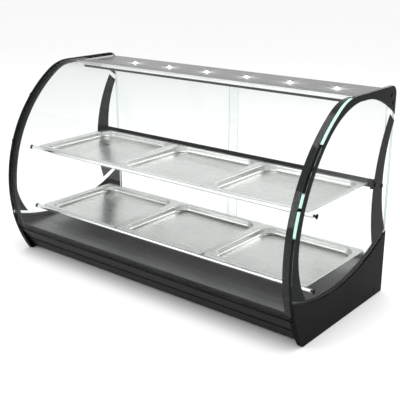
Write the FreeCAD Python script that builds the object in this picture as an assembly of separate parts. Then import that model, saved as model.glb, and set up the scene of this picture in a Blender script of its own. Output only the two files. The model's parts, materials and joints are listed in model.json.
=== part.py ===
import FreeCAD, Part
import math
import os

# Counter-top hot food display case: curved glass front, two tiers of shallow pans, heated base.
# Millimetres. X runs along the case, -Y faces the customer, +Y faces the operator, +Z is up.
# The origin is on the counter under the middle of the case.
# Many places are given as a depth d, measured forward from the back edge of the end plates.

V = FreeCAD.Vector

# ---- driving dimensions -------------------------------------------------------------------
LENGTH = 1122.0             # over the end plates
DEPTH = 516.0               # back edge to the foremost point of the curved front
HEIGHT = 634.0              # counter to the flat top of the side glass
BACK = DEPTH / 2
FRONT = -DEPTH / 2

# curved front outline, three tangent arcs below a flat top
TOP_FLAT_DEPTH = 230.0      # depth where the flat top starts to bend
TOP_RADIUS = 150.0
BULGE_Z = 230.0             # height of the foremost point
LOWER_RADIUS = 430.0

# end plates and side glass
END_PLATE_T = 17.0
END_OUT = LENGTH / 2
END_IN = END_OUT - END_PLATE_T
PLATE_BOTTOM = 1.0
SIDE_GLASS_T = 8.0
SIDE_GLASS_OUT = END_OUT - 2.0
SIDE_GLASS_IN = SIDE_GLASS_OUT - SIDE_GLASS_T
SLOT_GAP = 0.1
SLOT_DEPTH = 8.0
GLASS_FOOT = 20.0           # the side glass is cut above this height, then to its slot
BORDER_T = 1.0              # black border plates on the outside of the side glass
BORDER_INSET = 0.6          # from the edge of the glass to the border
BORDER_ABOVE_PLATE = 9.0

# front glass
FRONT_INSET = 2.0           # front glass lies this far inside the side glass edge
FRONT_GLASS_T = 6.0
FRONT_END = SIDE_GLASS_IN - 0.3
FRONT_GLASS_BOTTOM = 88.0
FRONT_GLASS_TOP_DEPTH = 170.0
BAND_WIDTH = 25.0
BAND_T = 1.0
GLUE_GAP = 0.1

# base
RAIL_BOTTOM = 10.0
RAIL_TOP = 84.0
RAIL_WALL = 3.0
RAIL_SHELF = 90.0           # ledge on the rail that carries the front of the deck
FLOOR_Z = 11.0
SHEET = 1.2
DECK_Z = 99.0               # top of the deck
DECK_SEAM_DEPTH = 437.0
DECK_FRONT_DEPTH = 473.0
DECK_REAR_DEPTH = 27.0
HOLE_R = 2.6
REAR_PANEL_DEPTH = 6.0

# pans (two thirds gastronorm, shallow)
PAN_X = 354.0
PAN_Y = 325.0
PAN_PITCH = 356.0
PAN_DEEP = 20.0
PAN_SHEET = 1.0
PAN_FLANGE = 15.5
PAN_LIP = 3.0
RIM_CORNER = 9.0
WELL_CORNER = 42.0
UPPER_RIM_Z = 361.0
LOWER_RIM_Z = 150.0
UPPER_RIM_FRONT = 404.0     # depth of the pans' front edge
LOWER_RIM_FRONT = 399.0

# shelf tubes
TUBE_R = 6.0
TUBE_WALL = 1.5
TUBE_AHEAD = 4.0            # tube axis in front of the pan's front edge
TUBE_DROP = 7.7             # tube axis below the rim
BOLT_R = 3.0
CAP_R = 7.5
CAP_T = 1.8

# canopy
ROOF_Z = 620.0
ROOF_FRONT = 179.0
ROOF_REAR = 2.0
ROOF_T = 1.5
ROOF_LIP_Z = 610.0
LINER_Z = 610.5
PROFILE_T = 4.0             # bright profile in front of the roof's lip
TRIM_TALL = 7.0
TRIM_SHORTER = 24.0         # the trim stops this far short of the roof at each end
LAMP_COUNT = 6
LAMP_DEPTH = 98.0
LAMP_PITCH = 157.0
LAMP_SHIFT = 32.0           # the row stands off centre, leaving room for the driver at its left
LAMP_R = 19.0

# sliding doors
DOOR_T = 5.0
DOOR_OUTER = 6.0            # depth of the outer door's rear face
DOOR_INNER = 15.0
DOOR_BOTTOM = 101.5
DOOR_TOP = 611.0
DOOR_OVERLAP = 30.0
TRACK_END = 548.0
RING_R = 20.0
RING_Z = 270.0
RING_FROM_END = 190.0       # from the outer edge of its door

# controls
RECESS_X0 = 235.0
RECESS_X1 = 435.0
RECESS_Z0 = 24.0
RECESS_Z1 = 86.0
RECESS_DEPTH = 30.0
KNOB_X = 390.0
KNOB_Z = 55.0
KNOB_R = 19.0
SHAFT_R = 3.0
ROCKER_X = (275.0, 325.0)
VENT_COUNT = 9
VENT_X = -260.0
VENT_PITCH = 22.0
VENT_WIDE = 6.0
VENT_LOW = 38.0
VENT_HIGH = 76.0
INLET_X = -400.0
INLET_Z = 52.0

# air circulation
FAN_X = 250.0
FAN_DEPTH = 150.0
FAN_R = 46.0
FAN_BOTTOM = 20.0
FAN_TALL = 26.0


# ---- small helpers ------------------------------------------------------------------------
def y_of(depth):
    """Y of a point that lies depth forward of the back edge."""
    return BACK - depth


def box(x0, x1, d0, d1, z0, z1):
    """Block between two depths."""
    return Part.makeBox(x1 - x0, d1 - d0, z1 - z0, V(x0, y_of(d1), z0))


def prism(points, x0, x1):
    """Polygon of (depth, z) corners drawn out along X."""
    corners = [V(x0, y_of(d), z) for d, z in points]
    wire = Part.makePolygon(corners + corners[:1])
    return Part.Face(wire).extrude(V(x1 - x0, 0, 0))


def rod(axis_point, direction, radius, length):
    return Part.makeCylinder(radius, length, axis_point, direction)


def x_rod(depth, z, radius, x0, x1):
    return rod(V(x0, y_of(depth), z), V(1, 0, 0), radius, x1 - x0)


def z_rod(x, depth, radius, z0, z1):
    return rod(V(x, y_of(depth), z0), V(0, 0, 1), radius, z1 - z0)


def y_rod(x, z, radius, d0, d1):
    return rod(V(x, y_of(d1), z), V(0, 1, 0), radius, d1 - d0)


def arc3(a, b, c):
    return Part.Arc(a, b, c).toShape()


def mirror_x(shape):
    return shape.mirror(V(0, 0, 0), V(1, 0, 0))


def rounded_plate(length, width, thick, radius, corner):
    """Plate with its vertical corners rounded; corner is its lowest corner."""
    plate = Part.makeBox(length, width, thick, corner)
    upright = [e for e in plate.Edges if abs(e.Vertexes[0].Z - e.Vertexes[-1].Z) > thick / 2]
    return plate.makeFillet(radius, upright)


def save(shapes, name):
    """Write one node; several shapes make a group of separate solids."""
    group = shapes if isinstance(shapes, list) else [shapes]
    solids = [solid for shape in group for solid in shape.Solids]
    shape = solids[0] if len(solids) == 1 else Part.makeCompound(solids)
    shape.exportStep("parts/" + name + ".step")


def save_pair(shape, name):
    """Write the +X piece and its mirror image as two nodes."""
    save(shape, name + "_right")
    save(mirror_x(shape), name + "_left")


def save_both(shapes, name):
    """Write the +X pieces and their mirror images as one node of separate solids."""
    group = shapes if isinstance(shapes, list) else [shapes]
    save(group + [mirror_x(shape) for shape in group], name)


# ---- the curved outline -------------------------------------------------------------------
BULGE_RISE = HEIGHT - BULGE_Z
BULGE_RUN = DEPTH - TOP_FLAT_DEPTH
UPPER_RADIUS = ((2 * BULGE_RISE * TOP_RADIUS - BULGE_RUN ** 2 - BULGE_RISE ** 2)
                / (2 * TOP_RADIUS - 2 * BULGE_RUN))
TOP_CENTRE = (y_of(TOP_FLAT_DEPTH), HEIGHT - TOP_RADIUS)
UPPER_CENTRE = (FRONT + UPPER_RADIUS, BULGE_Z)
LOWER_CENTRE = (FRONT + LOWER_RADIUS, BULGE_Z)
JOIN_ANGLE = math.atan2(TOP_CENTRE[1] - UPPER_CENTRE[1], TOP_CENTRE[0] - UPPER_CENTRE[0])


def on_arc(centre, radius, angle, x=0.0):
    return V(x, centre[0] + radius * math.cos(angle), centre[1] + radius * math.sin(angle))


def arc_between(centre, radius, start, end, x):
    middle = (start + end) / 2
    return arc3(on_arc(centre, radius, start, x), on_arc(centre, radius, middle, x),
                on_arc(centre, radius, end, x))


def low_angle(inset, z):
    """Angle on the lower arc, moved inwards by inset, at height z."""
    return math.pi + math.asin((BULGE_Z - z) / (LOWER_RADIUS - inset))


def front_edges(inset, bottom_z, x):
    """The curved front from bottom_z up to where the flat top starts."""
    return [
        arc_between(LOWER_CENTRE, LOWER_RADIUS - inset, low_angle(inset, bottom_z), math.pi, x),
        arc_between(UPPER_CENTRE, UPPER_RADIUS - inset, math.pi, JOIN_ANGLE, x),
        arc_between(TOP_CENTRE, TOP_RADIUS - inset, JOIN_ANGLE, math.pi / 2, x),
    ]


def curved_sheet(inset, thick, x0, x1, bottom_z, top_depth):
    """Bent sheet that follows the outline, from bottom_z over to top_depth."""
    outer = front_edges(inset, bottom_z, x0)
    inner = front_edges(inset + thick, bottom_z, x0)
    outer_top = V(x0, y_of(top_depth), HEIGHT - inset)
    inner_top = V(x0, y_of(top_depth), HEIGHT - inset - thick)
    outer.append(Part.makeLine(V(x0, TOP_CENTRE[0], HEIGHT - inset), outer_top))
    inner.append(Part.makeLine(V(x0, TOP_CENTRE[0], HEIGHT - inset - thick), inner_top))
    foot = Part.makeLine(on_arc(LOWER_CENTRE, LOWER_RADIUS - inset, low_angle(inset, bottom_z), x0),
                         on_arc(LOWER_CENTRE, LOWER_RADIUS - inset - thick,
                                low_angle(inset + thick, bottom_z), x0))
    edges = outer + inner + [foot, Part.makeLine(outer_top, inner_top)]
    wire = Part.Wire(Part.__sortEdges__(edges))
    return Part.Face(wire).extrude(V(x1 - x0, 0, 0))


REAR_CORNER = 28.0          # rounded top back corner of the side glass


def side_outline(x, bottom_z, inset=0.0):
    """Face of the whole side: curved front, flat top, rounded back corner, upright back."""
    top_back = V(x, y_of(REAR_CORNER), HEIGHT - inset)
    back_top = V(x, BACK - inset, HEIGHT - REAR_CORNER)
    turn = REAR_CORNER - (REAR_CORNER - inset) * math.sqrt(0.5)
    corner = arc3(top_back, V(x, y_of(turn), HEIGHT - turn), back_top)
    front_foot = on_arc(LOWER_CENTRE, LOWER_RADIUS - inset, low_angle(inset, bottom_z), x)
    back_foot = V(x, BACK - inset, bottom_z)
    edges = front_edges(inset, bottom_z, x)
    edges += [
        Part.makeLine(V(x, TOP_CENTRE[0], HEIGHT - inset), top_back),
        corner,
        Part.makeLine(back_top, back_foot),
        Part.makeLine(back_foot, front_foot),
    ]
    return Part.Face(Part.Wire(Part.__sortEdges__(edges)))


def side_plate(x0, x1, bottom_z=PLATE_BOTTOM):
    return side_outline(x0, bottom_z).extrude(V(x1 - x0, 0, 0))


def sweep_region(depth_z_curve, x0, x1, closing):
    """Region bounded by one curved edge and by straight lines through the closing corners."""
    points = [V(x0, y_of(d), z) for d, z in closing]
    edges = list(depth_z_curve)
    for a, b in zip(points[:-1], points[1:]):
        edges.append(Part.makeLine(a, b))
    return Part.Face(Part.Wire(Part.__sortEdges__(edges))).extrude(V(x1 - x0, 0, 0))


def plate_top_region(raise_by, x0, x1):
    """Everything above the end plate's dished top edge, raised by raise_by."""
    front = (DEPTH - 8, 145.0 + raise_by)
    middle = (300.0, 107.0 + raise_by)
    rear = (-2.0, 198.0 + raise_by)
    curve = arc3(*[V(x0, y_of(d), z) for d, z in (front, middle, rear)])
    above = HEIGHT + 50
    closing = [rear, (-2.0, above), (DEPTH + 60, above), (DEPTH + 60, front[1]), front]
    return sweep_region([curve], x0, x1, closing)


# ---- end plates, side glass and their borders ---------------------------------------------
CORNER_BOLTS = ((25.0, 607.0), (14.0, 583.0))
SHELF_REAR_BOLTS = ((89.0, 360.0), (49.0, 347.0))
TUBE_UPPER = (UPPER_RIM_FRONT + TUBE_AHEAD, UPPER_RIM_Z - TUBE_DROP)
TUBE_LOWER = (LOWER_RIM_FRONT + TUBE_AHEAD, LOWER_RIM_Z - TUBE_DROP)
TUBE_REAR = (LOWER_RIM_FRONT - PAN_Y + 8.5, LOWER_RIM_Z - PAN_LIP - 0.2 - TUBE_R)
RAIL_SCREW = (468.0, 74.0)
TRAY_SCREW = (44.0, 19.0)
CLIP_HEIGHTS = (534.0, 391.0)
CLIP_WIDE = 10.6            # across the edges of the front and the side glass
CLIP_LONG = 9.0
CLIP_T = 0.9
PLATE_SCREWS = (RAIL_SCREW, TRAY_SCREW, TUBE_REAR)
GLASS_BOLTS = CORNER_BOLTS + SHELF_REAR_BOLTS + (TUBE_UPPER, TUBE_LOWER)
SCREW_HEAD_R = 6.0
SCREW_SINK = 1.8


def make_end_plate():
    plate = side_plate(END_IN, END_OUT).cut(plate_top_region(0, END_IN - 1, END_OUT + 1))
    slot = side_plate(SIDE_GLASS_IN - SLOT_GAP, SIDE_GLASS_OUT + SLOT_GAP, GLASS_FOOT)
    slot = slot.common(plate_top_region(-SLOT_DEPTH, SIDE_GLASS_IN - 1, SIDE_GLASS_OUT + 1))
    rebate = curved_sheet(-1, 14, END_IN - 1, FRONT_END + 0.3, RAIL_TOP - 0.1, FRONT_GLASS_TOP_DEPTH)
    plate = plate.cut(slot).cut(rebate)
    for depth, z in PLATE_SCREWS:
        plate = plate.cut(x_rod(depth, z, BOLT_R, END_IN - 1, END_OUT + 1))
        plate = plate.cut(x_rod(depth, z, SCREW_HEAD_R + 0.2, END_OUT - SCREW_SINK, END_OUT + 1))
    return plate


def make_side_glass():
    glass = side_plate(SIDE_GLASS_IN, SIDE_GLASS_OUT, GLASS_FOOT)
    glass = glass.common(plate_top_region(0.3 - SLOT_DEPTH, SIDE_GLASS_IN - 1, SIDE_GLASS_OUT + 1))
    for depth, z in GLASS_BOLTS:
        glass = glass.cut(x_rod(depth, z, BOLT_R + 0.5, SIDE_GLASS_IN - 1, SIDE_GLASS_OUT + 1))
    return glass


def make_front_border():
    """Black border along the curved front edge and over the top back corner, as one plate."""
    x0 = SIDE_GLASS_OUT
    x1 = SIDE_GLASS_OUT + BORDER_T
    plate = side_outline(x0, GLASS_FOOT, BORDER_INSET).extrude(V(BORDER_T, 0, 0))
    plate = plate.common(plate_top_region(BORDER_ABOVE_PLATE, x0 - 1, x1 + 1))
    band_inner = [(186.0, 617.0), (270.0, 605.0), (333.5, 573.0), (398.5, 509.0), (448.0, 430.0),
                  (480.0, 339.5), (488.0, 258.0), (474.0, 191.0), (432.5, 120.0)]
    curve = Part.BSplineCurve()
    curve.interpolate([V(x0, y_of(d), z) for d, z in band_inner])
    corner_curve = arc3(*[V(x0, y_of(d), z) for d, z in ((-4.0, 545.0), (84.0, 597.0), (186.0, 617.0))])
    closing = [band_inner[-1], (-4.0, 80.0), (-4.0, 545.0)]
    window = sweep_region([curve.toShape(), corner_curve], x0, x1, closing)
    plate = plate.cut(window)
    for depth, z in CORNER_BOLTS:
        plate = plate.cut(x_rod(depth, z, BOLT_R + 0.5, x0 - 1, x1 + 1))
    return plate


def make_rear_border():
    """Black crescent near the back edge of the side glass."""
    x0 = SIDE_GLASS_OUT
    x1 = SIDE_GLASS_OUT + BORDER_T
    tip_out = (0.5, 531.0)
    tip_in = (30.0, 554.0)
    foot_out = (8.0, 205.0)
    foot_in = (81.0, 171.0)
    outer = arc3(*[V(x0, y_of(d), z) for d, z in (tip_out, (45.0, 370.0), foot_out)])
    inner = arc3(*[V(x0, y_of(d), z) for d, z in (tip_in, (102.0, 345.0), foot_in)])
    ends = [Part.makeLine(V(x0, y_of(a[0]), a[1]), V(x0, y_of(b[0]), b[1]))
            for a, b in ((tip_out, tip_in), (foot_out, foot_in))]
    wire = Part.Wire(Part.__sortEdges__([outer, inner] + ends))
    plate = Part.Face(wire).extrude(V(x1 - x0, 0, 0))
    for depth, z in SHELF_REAR_BOLTS:
        plate = plate.cut(x_rod(depth, z, BOLT_R + 0.5, x0 - 1, x1 + 1))
    return plate


def make_cap_bolts():
    """Black domed bolts through the side glass; the shanks end inside what they hold."""
    bolts = []
    for depth, z in GLASS_BOLTS:
        over_border = (depth, z) not in (TUBE_UPPER, TUBE_LOWER)
        face = SIDE_GLASS_OUT + (BORDER_T if over_border else 0)
        head = x_rod(depth, z, CAP_R, face, face + CAP_T)
        rim = [e for e in head.Edges if abs(e.CenterOfMass.x - face - CAP_T) < 0.01]
        head = head.makeFillet(CAP_T * 0.7, rim)
        reach = SIDE_GLASS_IN - (2.1 if over_border else 20.0)
        bolts.append(head.fuse(x_rod(depth, z, BOLT_R - 0.1, reach, face + 0.5)))
    return bolts


def make_plate_screws():
    screws = []
    for depth, z in PLATE_SCREWS:
        head = x_rod(depth, z, SCREW_HEAD_R, END_OUT - SCREW_SINK + 0.1, END_OUT + 0.6)
        rim = [e for e in head.Edges if abs(e.CenterOfMass.x - END_OUT - 0.6) < 0.01]
        head = head.makeFillet(0.9, rim)
        shank_end = END_IN - 12.0
        screws.append(head.fuse(x_rod(depth, z, BOLT_R - 0.1, shank_end, END_OUT - 1)))
    return screws


def make_edge_clips():
    """Small black clips that hook the front glass to the edge of the side glass."""
    clips = []
    for height in CLIP_HEIGHTS:
        angle = math.pi - math.asin((height - BULGE_Z) / UPPER_RADIUS)
        clip = Part.makeBox(CLIP_WIDE, CLIP_LONG, CLIP_T, V(SIDE_GLASS_IN - 1.4, -CLIP_LONG / 2, 0.1))
        clip.rotate(V(0, 0, 0), V(1, 0, 0), math.degrees(angle) - 90)
        clip.translate(on_arc(UPPER_CENTRE, UPPER_RADIUS, angle))
        clips.append(clip)
    return clips


# ---- front glass --------------------------------------------------------------------------
def make_front_glass():
    return curved_sheet(FRONT_INSET, FRONT_GLASS_T, -FRONT_END, FRONT_END,
                        FRONT_GLASS_BOTTOM, FRONT_GLASS_TOP_DEPTH)


def make_front_band():
    inset = FRONT_INSET + FRONT_GLASS_T + GLUE_GAP
    return curved_sheet(inset, BAND_T, FRONT_END - BAND_WIDTH, FRONT_END,
                        FRONT_GLASS_BOTTOM + 2, FRONT_GLASS_TOP_DEPTH + 40)


def make_glass_foot_seal():
    """Soft strip between the rail's lip and the lower edge of the front glass."""
    return box(-FRONT_END, FRONT_END, 480.5, 487.5, RAIL_TOP + 0.1, FRONT_GLASS_BOTTOM)


# ---- base ---------------------------------------------------------------------------------
RAIL_END = END_IN - 0.2


def make_front_rail():
    """Hollow extrusion under the front glass, with a shadow groove along its face."""
    outer = [(441, RAIL_BOTTOM), (464, 44), (462, 47), (467, 51), (486, 79), (488, RAIL_TOP),
             (474, RAIL_TOP), (474, 97), (471, 97), (471, RAIL_SHELF), (436, RAIL_SHELF), (436, RAIL_BOTTOM)]
    inner = [(441, RAIL_BOTTOM + RAIL_WALL), (459, 42), (457, 48), (463, 53), (481, 80),
             (439, 80), (439, RAIL_BOTTOM + RAIL_WALL)]
    rail = prism(outer, -RAIL_END, RAIL_END).cut(prism(inner, -RAIL_END - 1, RAIL_END + 1))
    rail = rail.fuse(x_rod(*RAIL_SCREW, 6.2, -RAIL_END, RAIL_END))
    return rail.cut(x_rod(*RAIL_SCREW, BOLT_R, -RAIL_END - 1, RAIL_END + 1))


def make_base_tray():
    """Folded bottom sheet: slotted floor, a rear flange and two side flanges."""
    floor = box(-RAIL_END, RAIL_END, REAR_PANEL_DEPTH + 2, 435.5, FLOOR_Z, FLOOR_Z + SHEET)
    flange = box(-RAIL_END, RAIL_END, REAR_PANEL_DEPTH + 2, REAR_PANEL_DEPTH + 2 + SHEET, FLOOR_Z, 22)
    ends = [box(min(x, x - side * SHEET), max(x, x - side * SHEET), REAR_PANEL_DEPTH + 2, 430, FLOOR_Z, 32)
            for side, x in ((1, RAIL_END), (-1, -RAIL_END))]
    tray = floor.fuse([flange] + ends).cut(x_rod(*TRAY_SCREW, BOLT_R, -LENGTH / 2, LENGTH / 2))
    for x in (-FAN_X, FAN_X):
        for row in range(-3, 4):
            slot = box(x - 34, x + 34, FAN_DEPTH + row * 11 - 2, FAN_DEPTH + row * 11 + 2,
                       FLOOR_Z - 1, FLOOR_Z + SHEET + 1)
            tray = tray.cut(slot)
    return tray


def hole_rows(x_start, d_start, columns, rows, pitch_x, pitch_d):
    """Centres of staggered holes."""
    centres = []
    for row in range(rows):
        shift = pitch_x / 2 if row % 2 else 0.0
        for column in range(columns):
            centres.append((x_start + column * pitch_x + shift, d_start + row * pitch_d))
    return centres


def make_deck_plate():
    """Lift-out perforated deck that the warm air rises through."""
    half = RAIL_END - 0.6
    plate = box(-half, half, DECK_REAR_DEPTH, DECK_SEAM_DEPTH - 0.6, DECK_Z - SHEET, DECK_Z)
    centres = []
    groups = 12
    group_pitch = 88.0
    for index in range(groups):
        x = (index - (groups - 1) / 2) * group_pitch - 32
        centres += hole_rows(x, 392.0, 5, 3, 15.0, 10.0)
    for side in (-1, 1):
        for group in range(3):
            for x, depth in hole_rows(0, 0, 3, 7, 9.0, 11.0):
                centres.append((side * (half - 8 - x), 68 + group * 96 + depth))
    holes = [z_rod(x, depth, HOLE_R, DECK_Z - SHEET - 1, DECK_Z + 1) for x, depth in centres]
    return plate.cut(Part.makeCompound(holes))


def make_deck_front():
    """Fixed front strip of the deck with its folded seam."""
    half = RAIL_END - 0.6
    strip = box(-half, half, DECK_SEAM_DEPTH + 0.6, DECK_FRONT_DEPTH, DECK_Z - SHEET, DECK_Z)
    fold = box(-half, half, DECK_SEAM_DEPTH + 0.6, DECK_SEAM_DEPTH + 0.6 + SHEET, RAIL_SHELF + 0.1, DECK_Z)
    return strip.fuse(fold)


def make_deck_rail():
    """Angle along the inside of an end plate that carries the deck."""
    upright = box(RAIL_END - 1.5, RAIL_END, 60, 405, DECK_Z - 22, DECK_Z - SHEET - 0.1)
    ledge = box(RAIL_END - 5, RAIL_END, 60, 405, DECK_Z - SHEET - 1.6, DECK_Z - SHEET - 0.1)
    return upright.fuse(ledge)


def make_feet():
    feet = []
    for x in (-470, 470):
        for depth in (60, 380):
            foot = Part.makeCone(13, 15, FLOOR_Z, V(x, y_of(depth), 0), V(0, 0, 1))
            feet.append(foot)
    return feet


# ---- rear panel and controls --------------------------------------------------------------
REAR_LOW = RAIL_BOTTOM + 2
REAR_HIGH = DECK_Z - SHEET - 1
PILOT_X = RECESS_X0 + 14.0


def make_rear_panel():
    """Rear skins of the base either side of the control pocket, with the inlet cut-out and vents."""
    rear = REAR_PANEL_DEPTH
    left = box(-RAIL_END, RECESS_X0 - 0.1, rear, rear + SHEET, REAR_LOW, REAR_HIGH)
    left = left.cut(box(INLET_X - 16, INLET_X + 16, rear - 1, rear + 5, INLET_Z - 12, INLET_Z + 12))
    for index in range(VENT_COUNT):
        x = VENT_X + index * VENT_PITCH
        left = left.cut(box(x, x + VENT_WIDE, rear - 1, rear + 5, VENT_LOW, VENT_HIGH))
    right = box(RECESS_X1 + 0.1, RAIL_END, rear, rear + SHEET, REAR_LOW, REAR_HIGH)
    strips = [box(RECESS_X0, RECESS_X1, rear, rear + SHEET, low, high)
              for low, high in ((REAR_LOW, RECESS_Z0 - SHEET - 0.1), (RECESS_Z1 + SHEET + 0.1, REAR_HIGH))]
    return [left, right] + strips


def make_control_pocket():
    """Sunk pocket between the rear skins, built up from five flat walls."""
    rear = REAR_PANEL_DEPTH
    x0 = RECESS_X0 + SHEET
    x1 = RECESS_X1 - SHEET
    low = RECESS_Z0 - SHEET
    high = RECESS_Z1 + SHEET
    back = box(RECESS_X0, RECESS_X1, RECESS_DEPTH, RECESS_DEPTH + SHEET, low, high)
    back = back.cut(y_rod(KNOB_X, KNOB_Z, SHAFT_R + 2, RECESS_DEPTH - 1, RECESS_DEPTH + 5))
    for x in ROCKER_X:
        back = back.cut(box(x - 9, x + 9, RECESS_DEPTH - 1, RECESS_DEPTH + 5, KNOB_Z - 13, KNOB_Z + 13))
    back = back.cut(y_rod(PILOT_X, KNOB_Z, 5, RECESS_DEPTH - 1, RECESS_DEPTH + 5))
    sides = [box(a, a + SHEET, rear, RECESS_DEPTH, low, high) for a in (RECESS_X0, x1)]
    lower = box(x0, x1, rear, RECESS_DEPTH, low, RECESS_Z0)
    upper = box(x0, x1, rear, RECESS_DEPTH, RECESS_Z1, high)
    return [back, lower, upper] + sides


def make_knob():
    """Fluted dial with a pointer rib; it turns about Y."""
    front = 10.0
    knob = y_rod(KNOB_X, KNOB_Z, KNOB_R, front, RECESS_DEPTH - 2)
    crown = [e for e in knob.Edges if abs(e.CenterOfMass.y - y_of(front)) < 0.01]
    knob = knob.makeFillet(2.5, crown)
    for index in range(16):
        angle = 2 * math.pi * (index + 0.5) / 16
        x = KNOB_X + (KNOB_R + 1.2) * math.cos(angle)
        z = KNOB_Z + (KNOB_R + 1.2) * math.sin(angle)
        knob = knob.cut(y_rod(x, z, 2.2, front - 1, RECESS_DEPTH - 6))
    pointer = box(KNOB_X - 1.2, KNOB_X + 1.2, front - 1.2, front + 1, KNOB_Z + 3, KNOB_Z + KNOB_R - 4)
    knob = knob.fuse(pointer)
    return knob.cut(y_rod(KNOB_X, KNOB_Z, SHAFT_R, front + 5, RECESS_DEPTH))


def make_thermostat():
    """Sensor-switch body behind the pocket with its threaded bush."""
    half = 20
    body = box(KNOB_X - half, KNOB_X + half, RECESS_DEPTH + SHEET + 0.2, RECESS_DEPTH + 32,
               KNOB_Z - half, KNOB_Z + half)
    bush = y_rod(KNOB_X, KNOB_Z, SHAFT_R + 1.8, RECESS_DEPTH - 1, RECESS_DEPTH + 3)
    bore = y_rod(KNOB_X, KNOB_Z, SHAFT_R + 0.05, RECESS_DEPTH - 3, RECESS_DEPTH + 20)
    return body.fuse(bush).cut(bore)


ROCKER_HALF_X = 7.5
ROCKER_HALF_Z = 11.0
BEZEL_FACE = RECESS_DEPTH - 2.5


def make_switch_bezel(x):
    flange = box(x - 11, x + 11, BEZEL_FACE, RECESS_DEPTH - 0.1, KNOB_Z - 16, KNOB_Z + 16)
    body = box(x - 8.8, x + 8.8, RECESS_DEPTH - 0.2, RECESS_DEPTH + 22, KNOB_Z - 12.8, KNOB_Z + 12.8)
    well = box(x - ROCKER_HALF_X - 0.3, x + ROCKER_HALF_X + 0.3, BEZEL_FACE - 1, RECESS_DEPTH + 12,
               KNOB_Z - ROCKER_HALF_Z - 0.8, KNOB_Z + ROCKER_HALF_Z + 0.8)
    return flange.fuse(body).cut(well)


ROCKER_PIVOT_DEPTH = RECESS_DEPTH + 5.0
ROCKER_TILT = 9.0


def make_rocker(x):
    """Two-winged rocker, stored with its upper wing pressed in."""
    proud = BEZEL_FACE - 2.0
    tip = ROCKER_HALF_Z - 0.5
    root = ROCKER_HALF_Z - 2
    deep = ROCKER_PIVOT_DEPTH - 1
    wings = [(proud, KNOB_Z + tip), (BEZEL_FACE, KNOB_Z), (proud, KNOB_Z - tip),
             (deep, KNOB_Z - root), (ROCKER_PIVOT_DEPTH + 3, KNOB_Z), (deep, KNOB_Z + root)]
    rocker = prism(wings, x - ROCKER_HALF_X, x + ROCKER_HALF_X)
    pivot = V(x, y_of(ROCKER_PIVOT_DEPTH), KNOB_Z)
    rocker.rotate(pivot, V(1, 0, 0), ROCKER_TILT)
    return rocker


def make_pilot_lamp():
    x = PILOT_X
    lens = y_rod(x, KNOB_Z, 6, RECESS_DEPTH - 3, RECESS_DEPTH - 0.1)
    crown = [e for e in lens.Edges if abs(e.CenterOfMass.y - y_of(RECESS_DEPTH - 3)) < 0.01]
    lens = lens.makeFillet(1.5, crown)
    return lens.fuse(y_rod(x, KNOB_Z, 4.8, RECESS_DEPTH - 0.5, RECESS_DEPTH + 16))


def make_inlet():
    """Appliance inlet: flange, body and an open socket."""
    face = REAR_PANEL_DEPTH - 3
    flange = box(INLET_X - 24, INLET_X + 24, face, REAR_PANEL_DEPTH - 0.1, INLET_Z - 15, INLET_Z + 15)
    body = box(INLET_X - 15.8, INLET_X + 15.8, REAR_PANEL_DEPTH - 0.2, REAR_PANEL_DEPTH + 26,
               INLET_Z - 11.8, INLET_Z + 11.8)
    socket = box(INLET_X - 13.5, INLET_X + 13.5, face - 1, REAR_PANEL_DEPTH + 19,
                 INLET_Z - 9.5, INLET_Z + 9.5)
    return flange.fuse(body).cut(socket)


def make_inlet_pins():
    pins = []
    for dx in (-8.0, 0.0, 8.0):
        pins.append(box(INLET_X + dx - 1, INLET_X + dx + 1, REAR_PANEL_DEPTH + 3,
                        REAR_PANEL_DEPTH + 18.9, INLET_Z - 7.5, INLET_Z - 2.5))
    return pins


# ---- heating and air ----------------------------------------------------------------------
def tube_path(points, bend, radius):
    """Round rod along straight runs joined by tangent arcs in the corners."""
    edges = []
    start = points[0]
    for before, corner, after in zip(points[:-2], points[1:-1], points[2:]):
        into = (corner - before).normalize()
        out = (after - corner).normalize()
        turn = math.acos(max(-1.0, min(1.0, into.dot(out))))
        cut_back = bend * math.tan(turn / 2)
        a = corner - into * cut_back
        b = corner + out * cut_back
        inward = (out - into).normalize()
        centre = corner + inward * (bend / math.cos(turn / 2))
        middle = centre - inward * bend
        edges.append(Part.makeLine(start, a))
        edges.append(arc3(a, middle, b))
        start = b
    edges.append(Part.makeLine(start, points[-1]))
    path = Part.Wire(edges)
    direction = (points[1] - points[0]).normalize()
    section = Part.Wire(Part.makeCircle(radius, points[0], direction))
    return path.makePipeShell([section], True, False)


HEATER_Z = 62.0


def make_heater(side):
    """Hairpin heating element over the fan on one side of the base."""
    points = [(60, 230), (470, 230), (470, 290), (90, 290), (90, 350), (470, 350)]
    route = [V(side * x, y_of(depth), HEATER_Z) for x, depth in points]
    return tube_path(route, 20, 4.0)


def make_heater_clips():
    """Posts from the floor, forked round the heating elements."""
    posts = []
    for side in (-1, 1):
        for x in (140, 400):
            post = box(side * x - 5, side * x + 5, 222, 358, FLOOR_Z + SHEET, HEATER_Z)
            post = post.cut(box(side * x - 6, side * x + 6, 224, 356, FLOOR_Z + SHEET + 2, HEATER_Z - 14))
            for depth in (230, 290, 350):
                post = post.cut(x_rod(depth, HEATER_Z, 4.2, side * x - 6, side * x + 6))
            posts.append(post)
    return posts


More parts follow.
